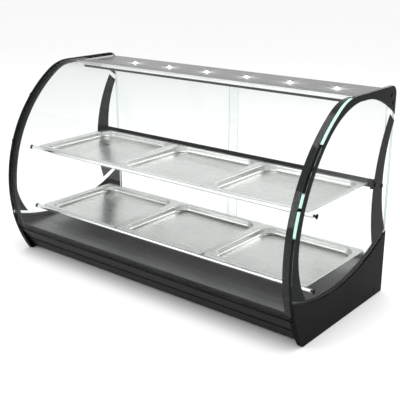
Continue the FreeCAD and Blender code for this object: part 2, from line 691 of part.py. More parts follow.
def make_fan_frame(x):
    """Square fan frame with a round throat, four spokes and a stub shaft."""
    side = FAN_R + 8
    top = FAN_BOTTOM + FAN_TALL
    frame = box(x - side, x + side, FAN_DEPTH - side, FAN_DEPTH + side, FAN_BOTTOM, top)
    frame = frame.cut(z_rod(x, FAN_DEPTH, FAN_R + 1.5, FAN_BOTTOM - 1, top + 1))
    spokes = box(x - side + 1, x + side - 1, FAN_DEPTH - 3, FAN_DEPTH + 3, FAN_BOTTOM, FAN_BOTTOM + 3)
    cross = box(x - 3, x + 3, FAN_DEPTH - side + 1, FAN_DEPTH + side - 1, FAN_BOTTOM, FAN_BOTTOM + 3)
    motor = z_rod(x, FAN_DEPTH, 17, FAN_BOTTOM, FAN_BOTTOM + 6)
    shaft = z_rod(x, FAN_DEPTH, 2.5, FAN_BOTTOM, top - 5)
    feet = []
    for dx in (-side + 6, side - 6):
        for dd in (-side + 6, side - 6):
            feet.append(z_rod(x + dx, FAN_DEPTH + dd, 4, FLOOR_Z + SHEET, FAN_BOTTOM + 1))
    return frame.fuse([spokes, cross, motor, shaft] + feet)


def make_fan_rotor(x):
    """Hub with seven pitched blades, bored to run on the stub shaft."""
    base = FAN_BOTTOM + 7.5
    top = FAN_BOTTOM + FAN_TALL - 2
    hub = z_rod(x, FAN_DEPTH, 16, base, top)
    blades = []
    for index in range(7):
        blade = Part.makeBox(30, 16, 1.6, V(14.5, -8, 0))
        blade.rotate(V(0, 0, 0), V(1, 0, 0), 32)
        blade.rotate(V(0, 0, 0), V(0, 0, 1), index * 360.0 / 7)
        blade.translate(V(x, y_of(FAN_DEPTH), (base + top) / 2))
        blades.append(blade)
    rotor = hub.fuse(blades)
    return rotor.cut(z_rod(x, FAN_DEPTH, 2.55, base - 1, top - 2.5))


def make_terminal_block():
    block = box(-330, -270, 60, 84, FLOOR_Z + SHEET, FLOOR_Z + SHEET + 20)
    for index in range(5):
        x = -324 + index * 12
        block = block.cut(z_rod(x, 72, 3, FLOOR_Z + 12, FLOOR_Z + 40))
    return block


def make_wire_loom():
    points = [(INLET_X, 33), (INLET_X, 50), (KNOB_X - 40, 50), (KNOB_X - 40, 72)]
    return tube_path([V(x, y_of(d), 30.0) for x, d in points], 8, 3.0)


# ---- shelves ------------------------------------------------------------------------------
def make_tube(place, half):
    depth, z = place
    tube = x_rod(depth, z, TUBE_R, -half, half)
    return tube.cut(x_rod(depth, z, TUBE_R - TUBE_WALL, -half - 1, half + 1))


def make_tube_plugs():
    """Threaded plugs in the tube ends that take the bolts."""
    plugs = []
    ends = ((TUBE_UPPER, SIDE_GLASS_IN - 0.3), (TUBE_LOWER, SIDE_GLASS_IN - 0.3), (TUBE_REAR, END_IN - 0.3))
    for (depth, z), half in ends:
        for side in (-1, 1):
            x0, x1 = sorted((side * (half - 24), side * half))
            plug = x_rod(depth, z, TUBE_R - TUBE_WALL - 0.05, x0, x1)
            plugs.append(plug.cut(x_rod(depth, z, BOLT_R, x0 - 1, x1 + 1)))
    return plugs


def make_rear_bar():
    """Black angle behind the upper pans: a ledge under their rear flange and a stop behind it."""
    half = SIDE_GLASS_IN - 2.3
    web = box(-half, half, 72.0, 74.0, 345.0, 370.0)
    ledge = box(-half, half, 72.0, 93.0, 355.3, 357.8)
    return web.fuse(ledge)


def make_bar_bracket():
    """End plate of the rear bar, bolted through the side glass."""
    x0 = SIDE_GLASS_IN - 2.2
    points = [(100, 349), (100, 372), (80, 374), (38, 358), (38, 336), (60, 338)]
    plate = prism(points, x0, SIDE_GLASS_IN - 0.2)
    for depth, z in SHELF_REAR_BOLTS:
        plate = plate.cut(x_rod(depth, z, BOLT_R, x0 - 1, SIDE_GLASS_IN + 1))
    return plate


# ---- pans ---------------------------------------------------------------------------------
def make_pan(column, rim_z, rim_front):
    """Shallow pan: flat flange with a turned-down lip round a pressed well."""
    x0 = column * PAN_PITCH - PAN_X / 2
    y0 = y_of(rim_front)
    corner = V(x0, y0, rim_z - PAN_SHEET)
    flange = rounded_plate(PAN_X, PAN_Y, PAN_SHEET, RIM_CORNER, corner)
    lip_low = V(x0, y0, rim_z - PAN_LIP)
    lip = rounded_plate(PAN_X, PAN_Y, PAN_LIP - PAN_SHEET / 2, RIM_CORNER, lip_low)
    lip_core = rounded_plate(PAN_X - 2 * PAN_SHEET, PAN_Y - 2 * PAN_SHEET, PAN_LIP + 2,
                             RIM_CORNER - PAN_SHEET, lip_low + V(PAN_SHEET, PAN_SHEET, -1))
    lip = lip.cut(lip_core)
    well_x = PAN_X - 2 * PAN_FLANGE
    well_y = PAN_Y - 2 * PAN_FLANGE
    well_low = V(x0 + PAN_FLANGE, y0 + PAN_FLANGE, rim_z - PAN_DEEP)
    outside = rounded_plate(well_x, well_y, PAN_DEEP - PAN_SHEET / 2, WELL_CORNER, well_low)
    foot = [e for e in outside.Edges if e.BoundBox.ZMax < well_low.z + 0.01]
    outside = outside.makeFillet(8.0, foot)
    t = PAN_SHEET
    inside = rounded_plate(well_x - 2 * t, well_y - 2 * t, PAN_DEEP + 2, WELL_CORNER - t,
                           well_low + V(t, t, t))
    foot = [e for e in inside.Edges if e.BoundBox.ZMax < well_low.z + t + 0.01]
    inside = inside.makeFillet(7.0, foot)
    return flange.fuse([lip, outside]).cut(inside)


# ---- canopy -------------------------------------------------------------------------------
ROOF_END = SIDE_GLASS_IN - 2.6
LAMP_X = [LAMP_SHIFT + (index - (LAMP_COUNT - 1) / 2) * LAMP_PITCH for index in range(LAMP_COUNT)]


def make_canopy_panel():
    """Roof sheet with its front lip and round windows over the lamps."""
    top = box(-ROOF_END, ROOF_END, ROOF_REAR, ROOF_FRONT, ROOF_Z - ROOF_T, ROOF_Z)
    lip = box(-ROOF_END, ROOF_END, ROOF_FRONT - ROOF_T, ROOF_FRONT, ROOF_LIP_Z, ROOF_Z)
    panel = top.fuse(lip)
    for x in LAMP_X:
        panel = panel.cut(z_rod(x, LAMP_DEPTH, LAMP_R - 2, ROOF_Z - 5, ROOF_Z + 1))
    return panel


def make_canopy_liner():
    """Stainless underside of the canopy, folded up at the front to meet the roof lip."""
    front = ROOF_FRONT - ROOF_T - 1
    sheet = box(-ROOF_END, ROOF_END, 26.0, front, LINER_Z, LINER_Z + 1)
    fold = box(-ROOF_END, ROOF_END, front - 1, front, LINER_Z, ROOF_Z - ROOF_T - 1)
    liner = sheet.fuse(fold)
    for x in LAMP_X:
        liner = liner.cut(z_rod(x, LAMP_DEPTH, LAMP_R + 0.2, LINER_Z - 1, LINER_Z + 3))
    return liner


def make_canopy_bracket():
    """Bright gusset inside the black border, from the top back corner forward past the roof."""
    x0 = SIDE_GLASS_IN - 2.5
    x1 = SIDE_GLASS_IN - 0.2
    front_tip = (222.0, 618.0)
    rear_foot = (6.0, 560.0)
    curve = arc3(*[V(x0, y_of(d), z) for d, z in (front_tip, (110.0, 606.0), rear_foot)])
    closing = [rear_foot, (6.0, 600.0), (12.0, 620.0), (20.0, 624.0), (206.0, 624.0), front_tip]
    plate = sweep_region([curve], x0, x1, closing)
    for depth, z in CORNER_BOLTS:
        plate = plate.cut(x_rod(depth, z, BOLT_R, x0 - 1, x1 + 1))
    return plate


def make_front_profile():
    """Bright extrusion along the front of the roof that carries the top edge of the glass."""
    back = ROOF_FRONT + 0.1
    face = ROOF_FRONT + PROFILE_T
    points = [(back, ROOF_LIP_Z), (face - 1, ROOF_LIP_Z), (face, ROOF_LIP_Z + 1), (face, ROOF_Z),
              (face - 1, ROOF_Z + 1), (back, ROOF_Z + 1)]
    return prism(points, -ROOF_END, ROOF_END)


def make_glass_top_seal():
    """Clear strip between the roof and the underside of the glass."""
    top = HEIGHT - FRONT_INSET - FRONT_GLASS_T
    return box(-ROOF_END, ROOF_END, FRONT_GLASS_TOP_DEPTH + 1, ROOF_FRONT - 0.5, ROOF_Z, top)


def make_canopy_trim():
    """Black strip under the bright profile."""
    half = ROOF_END - TRIM_SHORTER
    top = ROOF_LIP_Z - 0.1
    return box(-half, half, ROOF_FRONT - ROOF_T - 0.9, ROOF_FRONT + PROFILE_T, top - TRIM_TALL, top)


def make_lamp_body(x):
    """Through-mounted lamp ring between the roof and the liner."""
    ring = z_rod(x, LAMP_DEPTH, LAMP_R, LINER_Z - 0.5, ROOF_Z - ROOF_T - 0.1)
    flange = z_rod(x, LAMP_DEPTH, LAMP_R + 4, LINER_Z - 2.5, LINER_Z - 0.1)
    ring = ring.fuse(flange)
    return ring.cut(z_rod(x, LAMP_DEPTH, LAMP_R - 4, LINER_Z - 3, ROOF_Z))


def make_lamp_lens(x):
    """Clear lens that shows from below and through the roof window."""
    stem = z_rod(x, LAMP_DEPTH, LAMP_R - 4.1, LINER_Z - 2.3, ROOF_Z + 0.6)
    crown = [e for e in stem.Edges if abs(e.CenterOfMass.z - ROOF_Z - 0.6) < 0.01]
    return stem.makeFillet(1.2, crown)


def make_lamp_driver():
    """Flat supply that lies on the liner beside the first lamp."""
    x1 = LAMP_X[0] - LAMP_R - 30
    return box(x1 - 100, x1, 60, 110, LINER_Z + 1.1, ROOF_Z - ROOF_T - 0.5)


# ---- sliding doors and tracks -------------------------------------------------------------
GROOVE_GAP = 0.6


def make_track(z0, z1, groove_floor, opens_up):
    """Twin-groove channel; the grooves open upwards at the bottom and downwards at the top."""
    track = box(-TRACK_END, TRACK_END, DOOR_OUTER - 2.5, DOOR_INNER + DOOR_T + 2.5, z0, z1)
    for face in (DOOR_OUTER, DOOR_INNER):
        low = groove_floor if opens_up else z0 - 1
        high = z1 + 1 if opens_up else groove_floor
        groove = box(-TRACK_END - 1, TRACK_END + 1, face - GROOVE_GAP, face + DOOR_T + GROOVE_GAP, low, high)
        track = track.cut(groove)
    return track


def make_bottom_track():
    return make_track(DECK_Z - SHEET, 109.0, DOOR_BOTTOM - 0.4, True).common(
        box(-RAIL_END, RAIL_END, 0, 40, 90, 120))


def make_top_track():
    return make_track(603.0, ROOF_Z - ROOF_T - 0.1, 616.0, False).common(
        box(-ROOF_END, ROOF_END, 0, 40, 590, 625))


DOOR_END = RAIL_END - 1.0


def door_span(side):
    """X range of the door that closes the half on the given side."""
    return sorted((side * DOOR_END, -side * DOOR_OVERLAP / 2))


def ring_place(side):
    return side * (DOOR_END - RING_FROM_END), RING_Z


def make_door(side, face):
    x0, x1 = door_span(side)
    door = box(x0, x1, face, face + DOOR_T, DOOR_BOTTOM, DOOR_TOP)
    x, z = ring_place(side)
    return door.cut(y_rod(x, z, RING_R + 0.2, face - 1, face + DOOR_T + 1))


def make_ring(side, face):
    """Finger ring pressed into the door."""
    x, z = ring_place(side)
    ring = y_rod(x, z, RING_R, face, face + DOOR_T)
    flange = y_rod(x, z, RING_R + 4, face - 1.0, face - 0.1)
    ring = ring.fuse(y_rod(x, z, RING_R, face - 1.0, face + DOOR_T)).fuse(flange)
    return ring.cut(y_rod(x, z, RING_R - 3.5, face - 3, face + DOOR_T + 3))


# ---- write every node ---------------------------------------------------------------------
os.makedirs("parts", exist_ok=True)

save_pair(make_end_plate(), "end_plate")
save_pair(make_side_glass(), "side_glass")
save_both(make_front_border(), "side_borders_front")
save_both(make_rear_border(), "side_borders_rear")
save_both(make_cap_bolts(), "glass_cap_bolts")
save_both(make_plate_screws(), "end_plate_screws")
save_both(make_edge_clips(), "glass_edge_clips")

save(make_front_glass(), "front_glass")
save_both(make_front_band(), "front_glass_bands")
save([make_glass_top_seal(), make_glass_foot_seal()], "front_glass_seals")

save(make_front_rail(), "front_rail")
save(make_base_tray(), "base_tray")
save(make_deck_plate(), "deck_plate")
save(make_deck_front(), "deck_front_strip")
save(make_feet(), "rubber_feet")

save(make_rear_panel(), "rear_panel")
save(make_control_pocket(), "control_pocket")
save(make_knob(), "thermostat_knob")
save(y_rod(KNOB_X, KNOB_Z, SHAFT_R, 15.0, RECESS_DEPTH + 16), "thermostat_shaft")
save(make_thermostat(), "thermostat_body")
save([make_switch_bezel(x) for x in ROCKER_X], "switch_housings")
save(make_rocker(ROCKER_X[0]), "light_rocker")
save(make_rocker(ROCKER_X[1]), "power_rocker")
save(make_pilot_lamp(), "pilot_lamp")
save([make_inlet()] + make_inlet_pins(), "power_inlet")

save([make_heater(side) for side in (-1, 1)], "heating_elements")
save([make_fan_frame(side * FAN_X) for side in (-1, 1)], "fan_frames")
for side, word in ((-1, "left"), (1, "right")):
    save(make_fan_rotor(side * FAN_X), "fan_rotor_" + word)
save(make_heater_clips() + [make_deck_rail(), mirror_x(make_deck_rail())], "base_supports")
save(make_terminal_block(), "terminal_block")
save(make_wire_loom(), "wire_loom")

save(make_tube(TUBE_UPPER, SIDE_GLASS_IN - 0.3), "shelf_tube_upper_front")
save(make_tube(TUBE_LOWER, SIDE_GLASS_IN - 0.3), "shelf_tube_lower_front")
save(make_tube(TUBE_REAR, END_IN - 0.3), "shelf_tube_lower_rear")
save(make_tube_plugs(), "tube_plugs")
save(make_rear_bar(), "shelf_bar_upper_rear")
save_both(make_bar_bracket(), "shelf_bar_brackets")

for column, word in ((-1, "left"), (0, "centre"), (1, "right")):
    save(make_pan(column, UPPER_RIM_Z, UPPER_RIM_FRONT), "pan_upper_" + word)
    save(make_pan(column, LOWER_RIM_Z, LOWER_RIM_FRONT), "pan_lower_" + word)

save(make_canopy_panel(), "canopy_panel")
save(make_canopy_liner(), "canopy_liner")
save_both(make_canopy_bracket(), "canopy_brackets")
save(make_front_profile(), "canopy_front_profile")
save(make_canopy_trim(), "canopy_front_trim")
save([make_lamp_body(x) for x in LAMP_X], "lamp_bodies")
save([make_lamp_lens(x) for x in LAMP_X], "lamp_lenses")
save(make_lamp_driver(), "lamp_driver")

save(make_bottom_track(), "door_track_bottom")
save(make_top_track(), "door_track_top")
for side, face, word in ((-1, DOOR_OUTER, "left"), (1, DOOR_INNER, "right")):
    save(make_door(side, face), "rear_door_" + word)
    save(make_ring(side, face), "finger_ring_" + word)
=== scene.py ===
import json
import math
import bpy
import bmesh
from mathutils import Matrix, Vector


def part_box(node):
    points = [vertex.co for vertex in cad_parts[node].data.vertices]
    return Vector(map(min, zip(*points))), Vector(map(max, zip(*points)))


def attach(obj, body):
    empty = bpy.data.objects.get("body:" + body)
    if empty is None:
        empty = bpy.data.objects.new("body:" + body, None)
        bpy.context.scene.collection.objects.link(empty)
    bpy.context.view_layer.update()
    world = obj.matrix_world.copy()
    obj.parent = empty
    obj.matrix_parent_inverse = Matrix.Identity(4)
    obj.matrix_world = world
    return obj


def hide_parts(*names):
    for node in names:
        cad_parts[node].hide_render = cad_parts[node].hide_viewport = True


# Looks of the hot food display case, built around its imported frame. Metres, the frame's own axes:
# X along the case, -Y towards the customer, +Z up.

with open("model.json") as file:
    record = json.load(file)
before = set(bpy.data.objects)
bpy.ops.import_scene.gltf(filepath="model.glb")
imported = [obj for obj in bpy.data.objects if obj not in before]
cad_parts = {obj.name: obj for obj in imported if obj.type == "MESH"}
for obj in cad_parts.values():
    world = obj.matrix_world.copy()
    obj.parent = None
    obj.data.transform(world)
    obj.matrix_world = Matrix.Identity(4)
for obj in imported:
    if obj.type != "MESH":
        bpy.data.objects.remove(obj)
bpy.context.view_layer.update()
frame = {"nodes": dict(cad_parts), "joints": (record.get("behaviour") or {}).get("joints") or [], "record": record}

MM = 0.001
WELD = 0.002 * MM           # corners of the CAD mesh nearer than this are one
SMOOTH_UP_TO = 35.0         # degrees: edges sharper than this stay hard in shading
RECORD = frame["record"]
BODY_OF = {node: body for body, nodes in RECORD["behaviour"]["bodies"].items() for node in nodes}
SLOT_OF = {row["node"]: row["material_slot"] for row in RECORD["subparts"]}


# ---- shader helpers -------------------------------------------------------------------------
def principled(name, **values):
    """Material with one Principled shader; each value is set on the shader's own socket."""
    mat = bpy.data.materials.new(name)
    mat.use_nodes = True
    shader = mat.node_tree.nodes["Principled BSDF"]
    for socket, value in values.items():
        target = shader.inputs[socket.replace("_", " ")]
        if hasattr(value, "__len__"):
            value = (*value, 1.0)
        target.default_value = value
    return mat


def place(tree, stretch, shift=0.0):
    """Object coordinates, stretched."""
    coords = tree.nodes.new("ShaderNodeTexCoord")
    mapping = tree.nodes.new("ShaderNodeMapping")
    mapping.inputs["Scale"].default_value = stretch
    mapping.inputs["Location"].default_value = (shift, shift * 0.7, shift * 1.3)
    tree.links.new(coords.outputs["Object"], mapping.inputs["Vector"])
    return mapping.outputs["Vector"]


def noise(tree, stretch, detail=3.0, shift=0.0, distortion=0.0):
    """Noise whose cells measure about one over stretch along each axis."""
    texture = tree.nodes.new("ShaderNodeTexNoise")
    texture.inputs["Scale"].default_value = 1.0
    texture.inputs["Detail"].default_value = detail
    texture.inputs["Distortion"].default_value = distortion
    tree.links.new(place(tree, stretch, shift), texture.inputs["Vector"])
    return texture.outputs["Fac"]


def spread(tree, fac, low, high, start=0.3, end=0.7):
    """Maps the useful middle of a noise to low..high."""
    node = tree.nodes.new("ShaderNodeMapRange")
    node.inputs["From Min"].default_value = start
    node.inputs["From Max"].default_value = end
    node.inputs["To Min"].default_value = low
    node.inputs["To Max"].default_value = high
    tree.links.new(fac, node.inputs["Value"])
    return node.outputs["Result"]


def blend_colours(tree, fac, dark, light):
    """Dark where fac is 0, light where it is 1."""
    node = tree.nodes.new("ShaderNodeMix")
    node.data_type = "RGBA"
    node.inputs["A"].default_value = (*dark, 1.0)
    node.inputs["B"].default_value = (*light, 1.0)
    tree.links.new(fac, node.inputs["Factor"])
    return node.outputs["Result"]


def combine(tree, operation, a, b=0.0):
    """Math on sockets and numbers; b is left out where the operation takes one value."""
    node = tree.nodes.new("ShaderNodeMath")
    node.operation = operation
    for socket, value in zip(node.inputs, (a, b)):
        if isinstance(value, (int, float)):
            socket.default_value = value
        else:
            tree.links.new(value, socket)
    return node.outputs["Value"]


def add_bump(mat, height, strength, distance):
    """Relief on the material's shader; distance is its depth in metres."""
    tree = mat.node_tree
    bump = tree.nodes.new("ShaderNodeBump")
    bump.inputs["Strength"].default_value = strength
    bump.inputs["Distance"].default_value = distance
    tree.links.new(height, bump.inputs["Height"])
    tree.links.new(bump.outputs["Normal"], tree.nodes["Principled BSDF"].inputs["Normal"])


def feed(mat, socket, value):
    """Links a texture's output to a socket of the material's shader."""
    mat.node_tree.links.new(value, mat.node_tree.nodes["Principled BSDF"].inputs[socket])


# ---- materials ------------------------------------------------------------------------------
def brushed(name, dark, light, rough, depth=0.12, metallic=1.0):
    """Metal with fine lines along X, broad tone changes and a few longer scratches."""
    mat = principled(name, Metallic=metallic)
    tree = mat.node_tree
    lines = noise(tree, (9.0, 900.0, 900.0), detail=4.0)
    broad = noise(tree, (5.0, 6.0, 6.0), detail=2.0, shift=3.1)
    scratches = spread(tree, noise(tree, (3.0, 350.0, 350.0), detail=2.0, shift=7.7), 0.0, 1.0, 0.62, 0.72)
    tone = combine(tree, "ADD", combine(tree, "MULTIPLY", lines, 0.55),
                   combine(tree, "MULTIPLY", broad, 0.45))
    feed(mat, "Base Color", blend_colours(tree, spread(tree, tone, 0.0, 1.0), dark, light))
    roughness = combine(tree, "ADD", spread(tree, lines, rough - 0.06, rough + 0.08),
                        combine(tree, "MULTIPLY", scratches, 0.06))
    feed(mat, "Roughness", roughness)
    add_bump(mat, combine(tree, "SUBTRACT", lines, combine(tree, "MULTIPLY", scratches, 0.5)), depth, 0.00012)
    return mat


def polished(name, tone, rough):
    """Bright drawn tube or pressed sheet: nearly even, with soft smears of handling."""
    mat = principled(name, Metallic=1.0)
    tree = mat.node_tree
    smear = noise(tree, (14.0, 22.0, 22.0), detail=5.0, distortion=0.6)
    fine = noise(tree, (60.0, 1400.0, 1400.0), detail=2.0, shift=2.0)
    feed(mat, "Base Color", blend_colours(tree, spread(tree, smear, 0.0, 1.0), [c * 0.93 for c in tone],
                                          tone))
    feed(mat, "Roughness", combine(tree, "ADD", spread(tree, smear, rough, rough + 0.07),
                                   combine(tree, "MULTIPLY", fine, 0.04)))
    add_bump(mat, fine, 0.05, 0.0001)
    return mat


def moulded(name, dark, light, rough, grain=2600.0, specular=0.04, depth=0.25):
    """Moulded plastic: spark-eroded grain, faint flow variation, paler rubbed spots."""
    mat = principled(name, Specular_IOR_Level=specular)
    tree = mat.node_tree
    pits = noise(tree, (grain, grain, grain), detail=2.0)
    flow = noise(tree, (7.0, 7.0, 11.0), detail=3.0, shift=5.0, distortion=0.4)
    rubbed = spread(tree, noise(tree, (55.0, 40.0, 40.0), detail=6.0, shift=9.0), 0.0, 1.0, 0.64, 0.8)
    tone = combine(tree, "ADD", combine(tree, "MULTIPLY", spread(tree, flow, 0.0, 1.0), 0.7),
                   combine(tree, "MULTIPLY", rubbed, 0.6))
    feed(mat, "Base Color", blend_colours(tree, tone, dark, light))
    feed(mat, "Roughness", combine(tree, "SUBTRACT", spread(tree, flow, rough - 0.04, rough + 0.06),
                                   combine(tree, "MULTIPLY", rubbed, 0.08)))
    add_bump(mat, pits, depth, 0.00008)
    return mat


def anodised(name, dark, light, rough):
    """Anodised extrusion: die lines along X under an even matt layer."""
    mat = principled(name, Metallic=0.4, Specular_IOR_Level=0.05)
    tree = mat.node_tree
    die = noise(tree, (1.2, 700.0, 700.0), detail=3.0)
    cloud = noise(tree, (4.0, 9.0, 9.0), detail=3.0, shift=4.0)
    tone = combine(tree, "ADD", combine(tree, "MULTIPLY", die, 0.5), combine(tree, "MULTIPLY", cloud, 0.5))
    feed(mat, "Base Color", blend_colours(tree, spread(tree, tone, 0.0, 1.0), dark, light))
    feed(mat, "Roughness", spread(tree, die, rough - 0.05, rough + 0.07))
    add_bump(mat, die, 0.15, 0.0001)
    return mat


def enamel(name, tone):
    """Black screen print fired on glass: glossy, with a faint orange peel."""
    mat = principled(name, Roughness=0.2, Specular_IOR_Level=0.05)
    tree = mat.node_tree
    peel = noise(tree, (260.0, 260.0, 260.0), detail=2.0)
    cloud = noise(tree, (9.0, 9.0, 9.0), detail=4.0, shift=6.0)
    feed(mat, "Base Color", blend_colours(tree, spread(tree, cloud, 0.0, 1.0), [c * 0.7 for c in tone],
                                          [c * 1.5 for c in tone]))
    feed(mat, "Roughness", spread(tree, cloud, 0.14, 0.26))
    add_bump(mat, peel, 0.06, 0.0002)
    return mat


MIRROR_HEAD_ON = 0.035      # share of light a face mirrors when seen straight on
MIRROR_GLANCING = 0.8       # what is added to it at a glancing angle
GLANCING_POWER = 5.0


def pane(name, tint, mirror):
    """Clear sheet: each face tints what is behind it and mirrors a little, more at a glancing angle."""
    mat = bpy.data.materials.new(name)
    mat.use_nodes = True
    tree = mat.node_tree
    tree.nodes.clear()
    output = tree.nodes.new("ShaderNodeOutputMaterial")
    mix = tree.nodes.new("ShaderNodeMixShader")
    clear = tree.nodes.new("ShaderNodeBsdfTransparent")
    gloss = tree.nodes.new("ShaderNodeBsdfGlossy")
    weight = tree.nodes.new("ShaderNodeLayerWeight")
    smear = spread(tree, noise(tree, (11.0, 11.0, 15.0), detail=5.0, distortion=0.8), 0.0, 1.0, 0.4, 0.75)
    clear.inputs["Color"].default_value = (*tint, 1.0)
    gloss.inputs["Color"].default_value = (mirror, mirror, mirror, 1.0)
    weight.inputs["Blend"].default_value = 0.5
    glancing = combine(tree, "POWER", weight.outputs["Facing"], GLANCING_POWER)
    share = combine(tree, "ADD", combine(tree, "MULTIPLY", glancing, MIRROR_GLANCING), MIRROR_HEAD_ON)
    roughness = combine(tree, "ADD", combine(tree, "MULTIPLY", smear, 0.03), 0.01)
    tree.links.new(roughness, gloss.inputs["Roughness"])
    tree.links.new(share, mix.inputs["Fac"])
    tree.links.new(clear.outputs["BSDF"], mix.inputs[1])
    tree.links.new(gloss.outputs["BSDF"], mix.inputs[2])
    tree.links.new(mix.outputs["Shader"], output.inputs["Surface"])
    return mat


BAND_SOFT = 5 * MM           # over this length an edge turns from clear to dark at a band's end
EDGE_GLOW = 0.18            # light gathered by the sheet that leaves through its edge


def glass_edge(name, light, dark, dark_bands=()):
    """Polished edge of a sheet, streaked along it; its colour and glow are painted light that the sheet carries
    out through its edge, and it is painted dark between each pair of heights in dark_bands, where black print
    shows through.
    """
    mat = principled(name, Roughness=0.12, Specular_IOR_Level=0.08)
    tree = mat.node_tree
    streak = noise(tree, (900.0, 12.0, 12.0), detail=3.0)
    tone = spread(tree, streak, 0.6, 1.0)
    coords = tree.nodes.new("ShaderNodeTexCoord")
    split = tree.nodes.new("ShaderNodeSeparateXYZ")
    tree.links.new(coords.outputs["Object"], split.inputs["Vector"])
    for low, high in dark_bands:
        inside = combine(tree, "MULTIPLY", spread(tree, split.outputs["Z"], 0.0, 1.0, low, low + BAND_SOFT),
                         spread(tree, split.outputs["Z"], 1.0, 0.0, high - BAND_SOFT, high))
        tone = combine(tree, "MULTIPLY", tone, combine(tree, "SUBTRACT", 1.0, inside))
    colour = blend_colours(tree, tone, dark, light)
    feed(mat, "Base Color", colour)
    feed(mat, "Emission Color", colour)
    tree.nodes["Principled BSDF"].inputs["Emission Strength"].default_value = EDGE_GLOW
    return mat


def glowing(name, colour, strength, rough=0.4):
    """Lit plastic or frosted lens, a little brighter in the middle of each cell of its frosting."""
    mat = principled(name, Base_Color=colour, Roughness=rough)
    tree = mat.node_tree
    frost = noise(tree, (900.0, 900.0, 900.0), detail=2.0)
    feed(mat, "Emission Color", blend_colours(tree, spread(tree, frost, 0.0, 1.0), [c * 0.8 for c in colour],
                                              colour))
    tree.nodes["Principled BSDF"].inputs["Emission Strength"].default_value = strength
    add_bump(mat, frost, 0.2, 0.0001)
    return mat


def lamp_distance(tree, lamps, pitch):
    """Distance and angle round the nearest lamp of the row, and 1 beside the row's lamps, 0 past its ends."""
    coords = tree.nodes.new("ShaderNodeTexCoord")
    split = tree.nodes.new("ShaderNodeSeparateXYZ")
    tree.links.new(coords.outputs["Object"], split.inputs["Vector"])
    first = lamps[0].x
    along = combine(tree, "SUBTRACT", split.outputs["X"], first - pitch / 2)
    inside = combine(tree, "MULTIPLY", combine(tree, "GREATER_THAN", along, 0.0),
                     combine(tree, "LESS_THAN", along, pitch * len(lamps)))
    dx = combine(tree, "SUBTRACT", combine(tree, "FLOORED_MODULO", along, pitch), pitch / 2)
    dy = combine(tree, "SUBTRACT", split.outputs["Y"], lamps[0].y)
    square = combine(tree, "ADD", combine(tree, "MULTIPLY", dx, dx), combine(tree, "MULTIPLY", dy, dy))
    return combine(tree, "SQRT", square), combine(tree, "ARCTAN2", dy, dx), inside


RAYS_ROUND_LAMP = 8
RAY_SHARPNESS = 14.0


def light_spill(mat, lamps, pitch, strength, core, rays=0.0):
    """Light of each lamp on the surface round it: core is the distance over which it fades, rays how much
    further it reaches along each soft ray."""
    tree = mat.node_tree
    distance, angle, inside = lamp_distance(tree, lamps, pitch)
    reach = core
    if rays:
        wave = combine(tree, "COSINE", combine(tree, "MULTIPLY", angle, RAYS_ROUND_LAMP / 2))
        sharp = combine(tree, "POWER", combine(tree, "ABSOLUTE", wave), RAY_SHARPNESS)
        reach = combine(tree, "ADD", combine(tree, "MULTIPLY", sharp, rays * core), core)
    depth = combine(tree, "DIVIDE", distance, reach)
    fall = combine(tree, "EXPONENT", combine(tree, "MULTIPLY", depth, -1.0))
    glow = combine(tree, "MULTIPLY", combine(tree, "MULTIPLY", fall, inside), strength)
    tree.nodes["Principled BSDF"].inputs["Emission Color"].default_value = (1.0, 1.0, 1.0, 1.0)
    feed(mat, "Emission Strength", glow)


def heat_tinted(name):
    """Sheathed heating element: straw, brown and blue oxide along its length."""
    mat = principled(name, Metallic=0.9, Roughness=0.38)
    tree = mat.node_tree
    patches = noise(tree, (16.0, 16.0, 16.0), detail=4.0, distortion=0.5)
    ramp = tree.nodes.new("ShaderNodeValToRGB")
    colours = ((0.32, (0.30, 0.27, 0.24)), (0.47, (0.36, 0.25, 0.12)), (0.56, (0.20, 0.12, 0.10)),
               (0.68, (0.14, 0.16, 0.24)))
    while len(ramp.color_ramp.elements) < len(colours):
        ramp.color_ramp.elements.new(0.5)
    for element, (position, colour) in zip(ramp.color_ramp.elements, colours):
        element.position = position
        element.color = (*colour, 1.0)
    tree.links.new(patches, ramp.inputs["Fac"])
    feed(mat, "Base Color", ramp.outputs["Color"])
    add_bump(mat, noise(tree, (500.0, 500.0, 500.0)), 0.3, 0.0001)
    return mat


def galvanised(name):
    """Zinc-coated sheet with its spangle."""
    mat = principled(name, Metallic=0.85)
    tree = mat.node_tree
    cells = tree.nodes.new("ShaderNodeTexVoronoi")
    cells.inputs["Scale"].default_value = 1.0
    tree.links.new(place(tree, (90.0, 90.0, 90.0)), cells.inputs["Vector"])
    grey = combine(tree, "FRACT", combine(tree, "MULTIPLY", cells.outputs["Distance"], 7.0))
    feed(mat, "Base Color", blend_colours(tree, grey, (0.16, 0.165, 0.17), (0.26, 0.27, 0.275)))
    feed(mat, "Roughness", spread(tree, grey, 0.3, 0.5, 0.0, 1.0))
    return mat


BLACK_PLATE = moulded("black_plate_moulded", (0.0015, 0.0015, 0.0017), (0.0045, 0.0045, 0.0048), 0.42)
BLACK_CAP = moulded("black_cap_moulded", (0.0015, 0.0015, 0.0015), (0.004, 0.004, 0.004), 0.3,
                    specular=0.05, depth=0.1)
BLACK_PRINT = enamel("black_enamel", (0.0022, 0.0022, 0.0025))
BLACK_RAIL = anodised("black_rail_anodised", (0.004, 0.004, 0.0045), (0.011, 0.011, 0.012), 0.36)
BLACK_TRIM = anodised("black_trim_anodised", (0.004, 0.004, 0.004), (0.010, 0.010, 0.010), 0.4)
DECK = brushed("deck_satin_grey", (0.15, 0.15, 0.152), (0.235, 0.235, 0.237), 0.34, metallic=0.8)
PAN = brushed("pan_satin_steel", (0.60, 0.60, 0.59), (0.76, 0.76, 0.75), 0.26, depth=0.03)
TUBE = polished("tube_bright_steel", (0.84, 0.84, 0.84), 0.1)
ROOF = brushed("roof_brushed_steel", (0.11, 0.11, 0.11), (0.21, 0.21, 0.21), 0.3)
